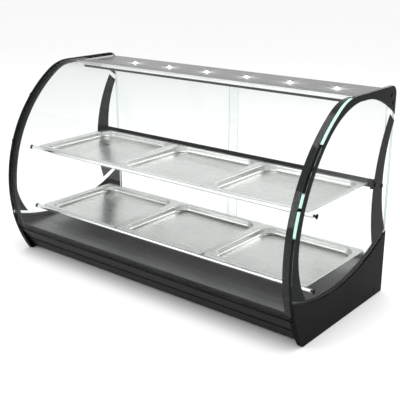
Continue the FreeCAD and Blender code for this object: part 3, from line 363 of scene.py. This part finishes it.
LINER = brushed("liner_bright_steel", (0.62, 0.62, 0.62), (0.80, 0.80, 0.80), 0.24)
BRIGHT = polished("profile_bright_aluminium", (0.97, 0.97, 0.97), 0.3)
LAMP_METAL = polished("lamp_satin_aluminium", (0.74, 0.74, 0.74), 0.22)
SHAFT = polished("shaft_turned_steel", (0.62, 0.62, 0.62), 0.2)
GALVANISED = galvanised("galvanised_sheet")
RUBBER = moulded("foot_rubber", (0.012, 0.012, 0.012), (0.030, 0.030, 0.030), 0.75,
                 grain=900.0, specular=0.2)
REAR = moulded("rear_powder_coat", (0.008, 0.008, 0.0085), (0.018, 0.018, 0.019), 0.46,
               grain=1500.0, specular=0.2, depth=0.5)
KNOB = moulded("knob_moulded", (0.010, 0.010, 0.010), (0.024, 0.024, 0.024), 0.4, specular=0.3)
PLASTIC = moulded("electrical_moulded", (0.016, 0.016, 0.016), (0.036, 0.036, 0.036), 0.45, specular=0.3)
FAN = moulded("fan_moulded", (0.014, 0.014, 0.015), (0.034, 0.034, 0.035), 0.5, specular=0.3)
ELEMENT = heat_tinted("element_heat_tinted")
PRINT_WHITE = moulded("print_white", (0.62, 0.62, 0.60), (0.80, 0.80, 0.78), 0.5, grain=1800.0)
LENS = moulded("lamp_lens_frosted", (0.20, 0.20, 0.20), (0.30, 0.30, 0.30), 0.35,
               grain=900.0, specular=0.3)
LED = glowing("lamp_led_lit", (1.0, 1.0, 1.0), 5.0)
GREEN = glowing("rocker_green_lit", (0.03, 0.42, 0.08), 0.5, rough=0.25)
RED = glowing("rocker_red_lit", (0.60, 0.03, 0.015), 0.5, rough=0.25)
AMBER = glowing("pilot_amber_lit", (0.95, 0.33, 0.03), 0.9, rough=0.2)
SIDE_PANE = pane("side_glass_clear", (0.982, 0.994, 0.988), 0.45)
FRONT_PANE = pane("front_glass_clear", (0.990, 0.997, 0.994), 0.4)
DOOR_PANE = pane("door_glass_clear", (0.988, 0.996, 0.993), 0.35)
SEAL = pane("seal_clear_silicone", (0.93, 0.95, 0.94), 0.2)
# Painted light and shade on glass edges: the edge materials below are coloured and lit as light leaving the
# sheets, and the side glasses' front edges are painted dark at these heights, where black print shows through
# them.
PRINT_HEIGHTS = ((0.425, 0.537), (0.10, 0.325))     # where print lies behind the front edge of a side glass
EDGE_MINT = glass_edge("glass_edge_sea_green", (0.56, 0.92, 0.78), (0.002, 0.006, 0.005), PRINT_HEIGHTS)
EDGE_PALE = glass_edge("glass_edge_pale", (0.86, 0.94, 0.91), (0.60, 0.74, 0.69))
EDGE_DARK = glass_edge("glass_edge_painted_dark", (0.006, 0.009, 0.008), (0.003, 0.004, 0.004))

NODE_MATERIAL = {
    "black_plate": BLACK_PLATE, "black_print": BLACK_PRINT, "black_rail": BLACK_RAIL,
    "black_trim": BLACK_TRIM, "black_cap": BLACK_CAP, "galvanised_steel": GALVANISED, "deck_steel": DECK, "rubber": RUBBER,
    "clear_seal": SEAL, "rear_steel": REAR, "knob_plastic": KNOB, "steel_shaft": SHAFT,
    "electrical_plastic": PLASTIC, "rocker_green": GREEN, "rocker_red": RED, "pilot_amber": AMBER,
    "element_steel": ELEMENT, "fan_plastic": FAN, "bright_steel": TUBE, "tube_plug": BLACK_CAP,
    "pan_steel": PAN, "roof_steel": ROOF, "liner_steel": LINER, "bright_aluminium": BRIGHT,
    "lamp_metal": LAMP_METAL, "lamp_lens": LENS, "ring_plastic": KNOB, "side_glass": SIDE_PANE,
    "front_glass": FRONT_PANE, "door_clear": DOOR_PANE,
}


# ---- mesh helpers ---------------------------------------------------------------------------
def link(name, mesh, body, materials, stands_for=(), sharp=SMOOTH_UP_TO):
    """Object on its body, smooth except at its sharp edges."""
    for mat in materials:
        mesh.materials.append(mat)
    mesh.shade_smooth()
    mesh.set_sharp_from_angle(angle=math.radians(sharp))
    piece = bpy.data.objects.new(name, mesh)
    bpy.context.scene.collection.objects.link(piece)
    weighted = piece.modifiers.new("even_normals", "WEIGHTED_NORMAL")
    weighted.keep_sharp = True
    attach(piece, body)
    if stands_for:
        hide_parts(*stands_for)
    return piece


FLAT_WITHIN = 0.5           # degrees: faces nearer than this to one plane are merged
HARD_EDGE = 28.0            # degrees: edges sharper than this are broken
BEVEL_SEGMENTS = 2


def break_edges(shape, edges, bevel):
    """Rounds edges over with a small bevel."""
    bmesh.ops.bevel(shape, geom=edges, offset=bevel, offset_type="OFFSET", segments=BEVEL_SEGMENTS,
                    profile=0.5, affect="EDGES", clamp_overlap=True)


def refined(node, bevel, pick=None, extra=()):
    """The node's own shape with its hard edges broken; pick chooses a material for each face."""
    shape = bmesh.new()
    shape.from_mesh(frame["nodes"][node].data)
    bmesh.ops.remove_doubles(shape, verts=shape.verts, dist=WELD)
    bmesh.ops.dissolve_limit(shape, angle_limit=math.radians(FLAT_WITHIN), verts=shape.verts,
                             edges=shape.edges)
    hard = [e for e in shape.edges
            if len(e.link_faces) == 2 and e.calc_face_angle(0.0) > math.radians(HARD_EDGE)]
    break_edges(shape, hard, bevel)
    shape.normal_update()
    for face in shape.faces:
        face.material_index = pick(face) if pick else 0
    mesh = bpy.data.meshes.new(node + "_refined")
    shape.to_mesh(mesh)
    shape.free()
    slot = SLOT_OF[node]
    return link(node + "_body", mesh, BODY_OF[node], [NODE_MATERIAL[slot], *extra], (node,))


def islands(node):
    """(lowest corner, highest corner) of each separate solid of a node, ordered along X, Y and Z."""
    shape = bmesh.new()
    shape.from_mesh(frame["nodes"][node].data)
    bmesh.ops.remove_doubles(shape, verts=shape.verts, dist=WELD)
    found = []
    seen = set()
    for start in shape.verts:
        if start in seen:
            continue
        seen.add(start)
        group = [start]
        for vert in group:
            for edge in vert.link_edges:
                other = edge.other_vert(vert)
                if other not in seen:
                    seen.add(other)
                    group.append(other)
        low = Vector([min(v.co[axis] for v in group) for axis in range(3)])
        high = Vector([max(v.co[axis] for v in group) for axis in range(3)])
        found.append((low, high))
    shape.free()
    return sorted(found, key=lambda pair: tuple(round(value, 5) for value in pair[0]))


class Piece:
    """Collects faces of one piece, then builds it."""

    def __init__(self):
        self.verts = []
        self.faces = []

    def add(self, verts, faces):
        base = len(self.verts)
        self.verts += [Vector(v) for v in verts]
        self.faces += [tuple(base + i for i in face) for face in faces]

    def skin(self, rings, start=False, end=False):
        """Surface through closed rings of equal count, with flat caps if asked."""
        count = len(rings[0])
        faces = []
        for level in range(len(rings) - 1):
            base = level * count
            for i in range(count):
                j = (i + 1) % count
                faces.append((base + i, base + j, base + count + j, base + count + i))
        if start:
            faces.append(tuple(reversed(range(count))))
        if end:
            faces.append(tuple(range((len(rings) - 1) * count, len(rings) * count)))
        self.add([point for ring in rings for point in ring], faces)

    def lathe(self, profile, origin, axis, segments=40):
        """Closed solid turned about an axis from (radius, height) points."""
        turn = Vector((0, 0, 1)).rotation_difference(Vector(axis)).to_matrix()
        rings = []
        for radius, height in profile:
            ring = []
            for step in range(segments):
                angle = 2 * math.pi * step / segments
                point = Vector((radius * math.cos(angle), radius * math.sin(angle), height))
                ring.append(Vector(origin) + turn @ point)
            rings.append(ring)
        closed = profile[0] == profile[-1]
        self.skin(rings, start=not closed, end=not closed)

    def block(self, low, high, bevel, turn=None, about=None):
        """Box with broken edges, turned about a point if asked."""
        shape = bmesh.new()
        bmesh.ops.create_cube(shape, size=1.0)
        size = Vector(high) - Vector(low)
        middle = (Vector(high) + Vector(low)) / 2
        for vert in shape.verts:
            vert.co = Vector((vert.co.x * size.x, vert.co.y * size.y, vert.co.z * size.z)) + middle
        break_edges(shape, shape.edges[:], bevel)
        if turn is not None:
            bmesh.ops.rotate(shape, verts=shape.verts, cent=about, matrix=turn)
        shape.verts.index_update()
        self.add([v.co.copy() for v in shape.verts], [[v.index for v in f.verts] for f in shape.faces])
        shape.free()

    def build(self, name, body, materials, stands_for=(), sharp=SMOOTH_UP_TO):
        shape = bmesh.new()
        verts = [shape.verts.new(v) for v in self.verts]
        for face in self.faces:
            shape.faces.new([verts[i] for i in face])
        bmesh.ops.remove_doubles(shape, verts=shape.verts, dist=0.001 * MM)
        bmesh.ops.dissolve_degenerate(shape, edges=shape.edges, dist=0.0005 * MM)
        bmesh.ops.recalc_face_normals(shape, faces=shape.faces)
        mesh = bpy.data.meshes.new(name)
        shape.to_mesh(mesh)
        shape.free()
        return link(name, mesh, body, materials, stands_for, sharp)


def rounded_ring(middle, half_x, half_y, radius, z, per_corner=8):
    """Closed ring round a rectangle with round corners."""
    ring = []
    for quarter in range(4):
        side_x = 1 if quarter in (0, 3) else -1
        side_y = 1 if quarter in (0, 1) else -1
        for step in range(per_corner + 1):
            angle = (quarter + step / per_corner) * math.pi / 2
            ring.append(Vector((middle.x + side_x * (half_x - radius) + radius * math.cos(angle),
                                middle.y + side_y * (half_y - radius) + radius * math.sin(angle), z)))
    return ring


LAMPS = [(low + high) / 2 for low, high in islands("lamp_lenses")]
LAMP_PITCH = LAMPS[1].x - LAMPS[0].x
light_spill(LENS, LAMPS, LAMP_PITCH, 3.0, 6 * MM, rays=1.0)
light_spill(ROOF, LAMPS, LAMP_PITCH, 2.2, 7 * MM, rays=1.6)
light_spill(LINER, LAMPS, LAMP_PITCH, 0.8, 16 * MM)
light_spill(BRIGHT, LAMPS, LAMP_PITCH, 1.2, 90 * MM)


# ---- glass ----------------------------------------------------------------------------------
EDGES = (EDGE_MINT, EDGE_PALE, EDGE_DARK)
PANE, MINT, PALE, DARK = range(4)
BOLTS = [(low + high) / 2 for low, high in islands("glass_cap_bolts")]


BOLT_HOLE_REACH = 8 * MM     # faces this near a bolt belong to its hole
GLASS_FOOT_BELOW = 0.2       # the side glasses' lower edges lie under this height


def side_face(face):
    """Material of a side glass's face. The edges carry painted light and shade: the front edge is painted sea
    green on the right and dark on the left, where it is seen through print; the rear edge is painted pale; the
    foot, the flat top and the bolt holes are painted dark."""
    if abs(face.normal.x) > 0.97:
        return PANE
    middle = face.calc_center_median()
    in_hole = any(math.hypot(middle.y - bolt.y, middle.z - bolt.z) < BOLT_HOLE_REACH for bolt in BOLTS)
    if in_hole or face.normal.z < -0.4 and middle.z < GLASS_FOOT_BELOW:
        return DARK
    if face.normal.y > 0.5:
        return PALE
    flat_top = face.normal.z > 0.98
    return DARK if middle.x < 0 or flat_top else MINT


def front_face(face):
    """Material of the bent front glass's face: its ends and foot lie over black and are painted dark, the rest is
    clear.
    """
    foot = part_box("front_glass")[0].z
    in_foot = face.calc_center_median().z < foot + 3 * MM and face.normal.z < -0.3
    if in_foot or abs(face.normal.x) > 0.5:
        return DARK
    return PANE


def door_face(face):
    """Material of a door's face: clear sheet, with pale painted light on its edges."""
    return PANE if abs(face.normal.y) > 0.9 else PALE


for side in ("left", "right"):
    refined("side_glass_" + side, bevel=2.0 * MM, pick=side_face, extra=EDGES)
    refined("rear_door_" + side, bevel=0.6 * MM, pick=door_face, extra=EDGES)
refined("front_glass", bevel=0.6 * MM, pick=front_face, extra=EDGES)


# ---- frame, rail and roof -------------------------------------------------------------------
EDGE_BREAK_MM = {
    "end_plate_left": 0.5, "end_plate_right": 0.5, "front_rail": 0.7, "side_borders_front": 0.25,
    "side_borders_rear": 0.25, "front_glass_bands": 0.2, "glass_edge_clips": 0.35, "front_glass_seals": 0.5,
    "deck_front_strip": 0.4, "canopy_panel": 0.4, "canopy_liner": 0.3, "canopy_brackets": 0.5,
    "canopy_front_profile": 0.4, "canopy_front_trim": 0.4, "door_track_top": 0.3, "door_track_bottom": 0.3,
    "shelf_bar_upper_rear": 0.4, "shelf_bar_brackets": 0.5, "rear_panel": 0.4, "control_pocket": 0.3,
    "thermostat_knob": 0.4, "switch_housings": 0.5, "power_rocker": 0.9, "light_rocker": 0.9,
    "power_inlet": 0.5, "thermostat_body": 0.8, "terminal_block": 0.8, "lamp_driver": 1.0,
    "shelf_tube_upper_front": 0.3, "shelf_tube_lower_front": 0.3, "shelf_tube_lower_rear": 0.3,
    "thermostat_shaft": 0.3,
}
for node, bevel in EDGE_BREAK_MM.items():
    refined(node, bevel=bevel * MM)

# shown as the frame has them, with their materials
for node in ("deck_plate", "base_tray", "base_supports", "heating_elements", "fan_frames", "wire_loom",
             "tube_plugs"):
    shown = frame["nodes"][node]
    shown.data.materials.clear()
    shown.data.materials.append(NODE_MATERIAL[SLOT_OF[node]])


# ---- pans -----------------------------------------------------------------------------------
# profile of the pressed sheet: (inset from the rim's outer edge, corner radius, height over the rim) in mm
PAN_PROFILE = (
    (0.0, 9.0, -3.0), (0.0, 9.0, -1.5), (0.3, 8.8, -0.7), (0.9, 8.4, -0.2), (1.8, 7.8, 0.0),
    (7.0, 7.0, -0.2), (12.2, 8.0, -0.1), (13.6, 40.0, -0.15), (14.8, 41.5, -0.6), (15.7, 41.6, -1.7),
    (16.2, 41.3, -3.2), (16.9, 41.0, -8.0), (17.6, 40.5, -13.0), (19.2, 39.5, -16.8), (22.0, 37.5, -18.6),
    (26.0, 34.0, -19.0), (44.0, 26.0, -18.9), (90.0, 20.0, -18.7),
)
PAN_SHEET = 1.0 * MM
PAN_SMOOTH = 60.0


def make_pan(node):
    """Pressed pan: its profile swept round the rim, given the sheet's thickness."""
    low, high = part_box(node)
    middle = (low + high) / 2
    half = (high - low) / 2
    rings = [rounded_ring(middle, half.x - inset * MM, half.y - inset * MM, radius * MM, high.z + rise * MM)
             for inset, radius, rise in PAN_PROFILE]
    piece = Piece()
    piece.skin(rings, end=True)
    pan = piece.build(node + "_pressed", BODY_OF[node], [PAN], (node,), sharp=PAN_SMOOTH)
    if pan.data.polygons[-1].normal.z < 0:
        pan.data.flip_normals()
    wall = pan.modifiers.new("sheet", "SOLIDIFY")
    wall.thickness = PAN_SHEET
    wall.offset = -1.0
    wall.use_even_offset = True
    while pan.modifiers[0].name != "sheet":
        pan.modifiers.move(1, 0)


for tier in ("upper", "lower"):
    for column in ("left", "centre", "right"):
        make_pan("pan_" + tier + "_" + column)


# ---- fasteners and feet ---------------------------------------------------------------------
def quarter_dome(radius, base, rise, steps=8):
    """Profile points of a dome, from its shoulder to its crown."""
    angles = [math.pi / 2 * step / steps for step in range(1, steps + 1)]
    return [(radius * math.cos(angle), base + rise * math.sin(angle)) for angle in angles]


def across(low, high):
    """Middle, outward direction along X and radius of a round piece that lies along X."""
    middle = (low + high) / 2
    outward = Vector((1 if middle.x > 0 else -1, 0, 0))
    return middle, outward, (high.z - low.z) / 2


def ends_along(low, high, outward):
    """X of the outer and of the inner end of a round piece that lies along X."""
    return (high.x, low.x) if outward.x > 0 else (low.x, high.x)


SCREW_SHANK = 2.9 * MM       # radius
CAP_RISE = 1.8 * MM
SCREW_RISE = 2.2 * MM
SCREW_KEY = 2.6 * MM         # radius of the hexagon socket


def make_cap_bolts():
    """Domed caps with a fine bead round the foot."""
    piece = Piece()
    for low, high in islands("glass_cap_bolts"):
        middle, outward, radius = across(low, high)
        tip, tail = ends_along(low, high, outward)
        crown = Vector((tip, middle.y, middle.z))
        foot = -CAP_RISE
        shank = abs(tip - tail)
        profile = [(0.0, -shank), (SCREW_SHANK, -shank), (SCREW_SHANK, foot), (radius - 0.4 * MM, foot),
                   (radius, foot + 0.25 * MM), (radius, foot + 0.6 * MM),
                   (radius - 0.5 * MM, foot + 0.75 * MM)]
        profile += quarter_dome(radius - 0.7 * MM, foot + 0.75 * MM, 1.05 * MM)
        piece.lathe(profile, crown, outward)
    piece.build("glass_cap_bolts_domed", "case", [BLACK_CAP], ("glass_cap_bolts",))


def socket_head(piece, crown, outward, radius, length):
    """Button head with a hexagon socket, and its shank."""
    turn = Vector((0, 0, 1)).rotation_difference(outward).to_matrix()
    segments = 36

    def ring(reach, height, hexagonal=False):
        points = []
        for step in range(segments):
            angle = 2 * math.pi * step / segments
            scale = 1.0
            if hexagonal:
                sixth = math.pi / 3
                scale = math.cos(sixth / 2) / math.cos((angle % sixth) - sixth / 2)
            flat = reach * scale
            points.append(crown + turn @ Vector((flat * math.cos(angle), flat * math.sin(angle), height)))
        return points

    foot = -SCREW_RISE
    rings = [ring(SCREW_SHANK, -length), ring(SCREW_SHANK, foot), ring(radius - 0.2 * MM, foot),
             ring(radius, foot + 0.2 * MM), ring(radius, foot * 0.6), ring(radius * 0.93, foot * 0.25),
             ring(radius * 0.78, foot * 0.06), ring(radius * 0.62, 0.0), ring(SCREW_KEY + 0.15 * MM, 0.0),
             ring(SCREW_KEY, -0.15 * MM, True), ring(SCREW_KEY, -1.4 * MM, True)]
    piece.skin(rings, start=True, end=True)


def make_plate_screws():
    """Button-headed screws of the end plates."""
    piece = Piece()
    for low, high in islands("end_plate_screws"):
        middle, outward, radius = across(low, high)
        tip, tail = ends_along(low, high, outward)
        socket_head(piece, Vector((tip, middle.y, middle.z)), outward, radius, abs(tip - tail))
    piece.build("end_plate_screws_socketed", "case", [BLACK_CAP], ("end_plate_screws",))


def make_feet():
    """Turned rubber feet with a waist groove and a hollow underside."""
    piece = Piece()
    for low, high in islands("rubber_feet"):
        middle = (low + high) / 2
        top = (high.x - low.x) / 2
        bottom = top - 2 * MM
        tall = high.z - low.z
        profile = [(0.0, 3 * MM), (5 * MM, 3 * MM), (6 * MM, 0.4 * MM), (7 * MM, 0.0), (bottom - 1 * MM, 0.0),
                   (bottom, 0.8 * MM), (bottom + 0.6 * MM, 3.4 * MM), (bottom - 0.2 * MM, 4.2 * MM),
                   (bottom + 0.8 * MM, 5.0 * MM), (top, tall - 0.8 * MM), (top - 0.8 * MM, tall), (0.0, tall)]
        piece.lathe(profile, Vector((middle.x, middle.y, low.z)), (0, 0, 1), segments=48)
    piece.build("rubber_feet_turned", "case", [RUBBER], ("rubber_feet",))


make_cap_bolts()
make_plate_screws()
make_feet()


# ---- lamps ----------------------------------------------------------------------------------
LAMP_GLOW_SHARE = 0.42      # radius of the bright dome as a share of the lens
LAMP_DOME_RISE = 5.0 * MM
LAMP_DOME_ROOT = 1.5 * MM    # how far the dome reaches down into the lens


def make_lamps():
    """Turned lamp rings, frosted lenses and, on each lens, the small lit dome that stands for the chips' glow."""
    rings = Piece()
    lenses = Piece()
    chips = Piece()
    for (low, high), (lens_low, lens_high) in zip(islands("lamp_bodies"), islands("lamp_lenses")):
        middle = (low + high) / 2
        flange = (high.x - low.x) / 2
        barrel = flange - 4 * MM
        bore = (lens_high.x - lens_low.x) / 2 + 0.1 * MM
        tall = high.z - low.z
        profile = [(bore, 0.3 * MM), (bore + 0.6 * MM, 0.0), (flange - 1.5 * MM, 0.0),
                   (flange - 0.5 * MM, 0.3 * MM), (flange, 1.1 * MM), (flange, 2.3 * MM), (barrel, 2.4 * MM), (barrel, tall - 0.5 * MM),
                   (barrel - 0.5 * MM, tall), (bore, tall), (bore, 0.3 * MM)]
        rings.lathe(profile, Vector((middle.x, middle.y, low.z)), (0, 0, 1), segments=48)
        radius = (lens_high.x - lens_low.x) / 2
        lens_tall = lens_high.z - lens_low.z
        dome = [(0.0, 0.0), (radius * 0.5, 0.3 * MM), (radius, 1.2 * MM), (radius, lens_tall - 1.1 * MM),
                (radius * 0.94, lens_tall - 0.5 * MM), (radius * 0.8, lens_tall - 0.2 * MM),
                (radius * 0.5, lens_tall - 0.12 * MM), (0.0, lens_tall - 0.12 * MM)]
        lenses.lathe(dome, Vector((middle.x, middle.y, lens_low.z)), (0, 0, 1), segments=48)
        glow = radius * LAMP_GLOW_SHARE
        top = lens_high.z - 0.3 * MM
        root = top - LAMP_DOME_ROOT
        bulb = [(0.0, root), (glow, root), (glow, top), *quarter_dome(glow, top, LAMP_DOME_RISE)]
        chips.lathe(bulb, Vector((middle.x, middle.y, 0)), (0, 0, 1), segments=40)
    rings.build("lamp_rings", "case", [LAMP_METAL], ("lamp_bodies",))
    lenses.build("lamp_lens_domes", "case", [LENS], ("lamp_lenses",))
    chips.build("lamp_chip_clusters", "case", [LED])


make_lamps()


# ---- rear side ------------------------------------------------------------------------------
def make_finger_rings():
    """Rolled-edge rings set in the doors."""
    for side in ("left", "right"):
        low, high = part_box("finger_ring_" + side)
        middle = (low + high) / 2
        flange = (high.x - low.x) / 2
        outer = flange - 4 * MM
        bore = outer - 3.5 * MM
        deep = high.y - low.y
        profile = [(bore, 0.8 * MM), (bore + 0.5 * MM, 0.2 * MM), (bore + 1.4 * MM, 0.0),
                   (flange - 1.2 * MM, 0.15 * MM), (flange - 0.2 * MM, 0.5 * MM), (flange, 0.9 * MM),
                   (outer, 0.95 * MM), (outer, deep - 0.6 * MM), (outer - 0.6 * MM, deep),
                   (bore + 0.6 * MM, deep), (bore, deep - 0.6 * MM), (bore, 0.8 * MM)]
        ring = Piece()
        ring.lathe(profile, Vector((middle.x, high.y, middle.z)), (0, -1, 0), segments=56)
        ring.build("finger_ring_" + side + "_rolled", BODY_OF["finger_ring_" + side], [KNOB],
                   ("finger_ring_" + side,))


def make_pilot_lamp():
    """Faceted lens in a slim collar."""
    low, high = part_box("pilot_lamp")
    middle = (low + high) / 2
    radius = (high.x - low.x) / 2
    deep = high.y - low.y
    profile = [(0.0, 0.0), (radius * 0.45, 0.15 * MM), (radius * 0.8, 0.9 * MM), (radius, 1.8 * MM),
               (radius, 2.8 * MM), (4.7 * MM, 2.9 * MM), (4.7 * MM, deep), (0.0, deep)]
    lens = Piece()
    lens.lathe(profile, Vector((middle.x, high.y, middle.z)), (0, -1, 0), segments=12)
    lens.build("pilot_lamp_lens", "case", [AMBER], ("pilot_lamp",), sharp=10.0)


DIAL_TICKS = 13
DIAL_SWEEP = 270.0           # degrees
MARK_BEVEL = 0.04 * MM


def make_dial_marks():
    """Ticks round the dial that grow with the heat, and the pointer line on the dial itself."""
    low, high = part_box("thermostat_knob")
    middle = (low + high) / 2
    radius = (high.x - low.x) / 2
    floor_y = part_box("switch_housings")[1].y - 2.5 * MM
    marks = Piece()
    centre = Vector((middle.x, floor_y, middle.z))
    for index in range(DIAL_TICKS):
        share = index / (DIAL_TICKS - 1)
        angle = math.radians(90 + DIAL_SWEEP / 2 - DIAL_SWEEP * share)
        size = (1.4 + 2.2 * share) * MM
        at = centre + Vector((-math.cos(angle), 0, math.sin(angle))) * (radius + 3.2 * MM)
        turn = Matrix.Rotation(angle, 3, "Y")
        marks.block(at - Vector((size / 2, 0.02 * MM, 0.45 * MM)),
                    at + Vector((size / 2, 0.12 * MM, 0.45 * MM)), MARK_BEVEL, turn=turn, about=at)
    marks.build("dial_marks", "case", [PRINT_WHITE])
    line = Piece()
    line.block(Vector((middle.x - 0.5 * MM, high.y - 0.05 * MM, middle.z + 4 * MM)),
               Vector((middle.x + 0.5 * MM, high.y + 0.05 * MM, middle.z + radius - 5 * MM)), MARK_BEVEL)
    line.build("dial_pointer_line", "thermostat_dial", [PRINT_WHITE])


FAN_BLADES = 7
BLADE_SECTIONS = 7
HUB_RADIUS = 16 * MM
BLADE_TIP = 43.5 * MM
SHAFT_BORE = 2.55 * MM


def blade_ring(radius, chord, pitch):
    """Closed section across one fan blade at a radius, lens shaped and pitched."""
    points = []
    steps = 8
    for upper in (True, False):
        for step in range(steps):
            share = step / steps if upper else 1 - step / steps
            along = (share - 0.5) * chord
            thick = 0.9 * MM * math.sin(math.pi * share) + 0.15 * MM
            camber = 1.6 * MM * math.sin(math.pi * share)
            rise = camber + (thick if upper else -thick)
            points.append(Vector((radius, along * math.cos(pitch) - rise * math.sin(pitch),
                                  along * math.sin(pitch) + rise * math.cos(pitch))))
    return points


def make_fan_rotor(side):
    """Hub with a dished cap and seven twisted blades."""
    node = "fan_rotor_" + side
    low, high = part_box(node)
    joint = next(j for j in frame["joints"] if j["child"] == node)
    axis = Vector(joint["pos_m"])
    hub = HUB_RADIUS
    tall = high.z - low.z
    rotor = Piece()
    shell = [(SHAFT_BORE, 0.0), (hub, 0.0), (hub, tall - 2.0 * MM), (hub - 0.6 * MM, tall - 0.8 * MM),
             (hub - 2.0 * MM, tall), (6 * MM, tall), (5 * MM, tall - 0.8 * MM), (0.0, tall - 0.8 * MM)]
    bore = [(0.0, tall - 2.6 * MM), (SHAFT_BORE, tall - 2.6 * MM)]
    rotor.lathe(bore + shell, Vector((axis.x, axis.y, low.z)), (0, 0, 1), segments=40)
    root = hub - 1 * MM          # the blades start inside the hub
    for blade in range(FAN_BLADES):
        turn = Matrix.Rotation(2 * math.pi * blade / FAN_BLADES, 3, "Z")
        rings = []
        for step in range(BLADE_SECTIONS):
            share = step / (BLADE_SECTIONS - 1)
            radius = root + (BLADE_TIP - root) * share
            chord = (13 + 4 * math.sin(math.pi * share)) * MM
            pitch = math.radians(38 - 14 * share)
            section = blade_ring(radius, chord, pitch)
            rings.append([Vector((axis.x, axis.y, (low.z + high.z) / 2)) + turn @ p for p in section])
        rotor.skin(rings, start=True, end=True)
    rotor.build(node + "_bladed", node, [FAN], (node,), sharp=50.0)


make_finger_rings()
make_pilot_lamp()
make_dial_marks()
for side in ("left", "right"):
    make_fan_rotor(side)


# ---- floor, light and camera ----------------------------------------------------------------
FLOOR_REACH = 30.0


def make_floor():
    """Plain pale floor."""
    mesh = bpy.data.meshes.new("floor")
    reach = FLOOR_REACH
    corners = [(-reach, -reach, 0), (reach, -reach, 0), (reach, reach, 0), (-reach, reach, 0)]
    mesh.from_pydata(corners, [], [(0, 1, 2, 3)])
    mat = principled("floor_pale", Roughness=0.7, Specular_IOR_Level=0.1)
    tree = mat.node_tree
    clouds = noise(tree, (0.6, 0.6, 0.6))
    feed(mat, "Base Color", blend_colours(tree, clouds, (0.93, 0.93, 0.93), (0.97, 0.97, 0.97)))
    mesh.materials.append(mat)
    floor = bpy.data.objects.new("floor", mesh)
    bpy.context.scene.collection.objects.link(floor)


def make_light(name, at, towards, size, watts):
    """Soft rectangular light, size being its width and height in metres."""
    lamp = bpy.data.lights.new(name, "AREA")
    lamp.shape = "RECTANGLE"
    lamp.size = size[0]
    lamp.size_y = size[1]
    lamp.energy = watts
    holder = bpy.data.objects.new(name, lamp)
    holder.location = at
    holder.rotation_euler = (Vector(towards) - Vector(at)).to_track_quat("-Z", "Y").to_euler()
    bpy.context.scene.collection.objects.link(holder)


def make_world():
    """Even white surroundings."""
    world = bpy.data.worlds.new("studio")
    bpy.context.scene.world = world
    world.use_nodes = True
    background = world.node_tree.nodes["Background"]
    background.inputs["Color"].default_value = (1.0, 1.0, 1.0, 1.0)
    background.inputs["Strength"].default_value = 1.0


def make_camera():
    """Camera to the right of the case's front and above it."""
    camera = bpy.data.cameras.new("camera")
    camera.lens = 68.3
    camera.sensor_width = 36.0
    holder = bpy.data.objects.new("camera", camera)
    holder.location = (1.4687, -1.7354, 0.9991)
    holder.rotation_euler = (math.radians(71.56), 0, math.radians(39.13))
    bpy.context.scene.collection.objects.link(holder)
    bpy.context.scene.camera = holder


CENTRE = (0.0, 0.0, 0.3)
make_floor()
make_world()
make_light("overhead", (0.3, -0.2, 2.6), CENTRE, (2.6, 2.0), 38.0)
make_light("front_fill", (-1.6, -2.6, 1.3), CENTRE, (1.8, 1.4), 16.0)
make_light("rear_fill", (1.2, 2.6, 1.5), CENTRE, (1.8, 1.2), 14.0)
make_camera()
bpy.context.scene.view_settings.view_transform = "Standard"
bpy.context.scene.cycles.transparent_max_bounces = 40
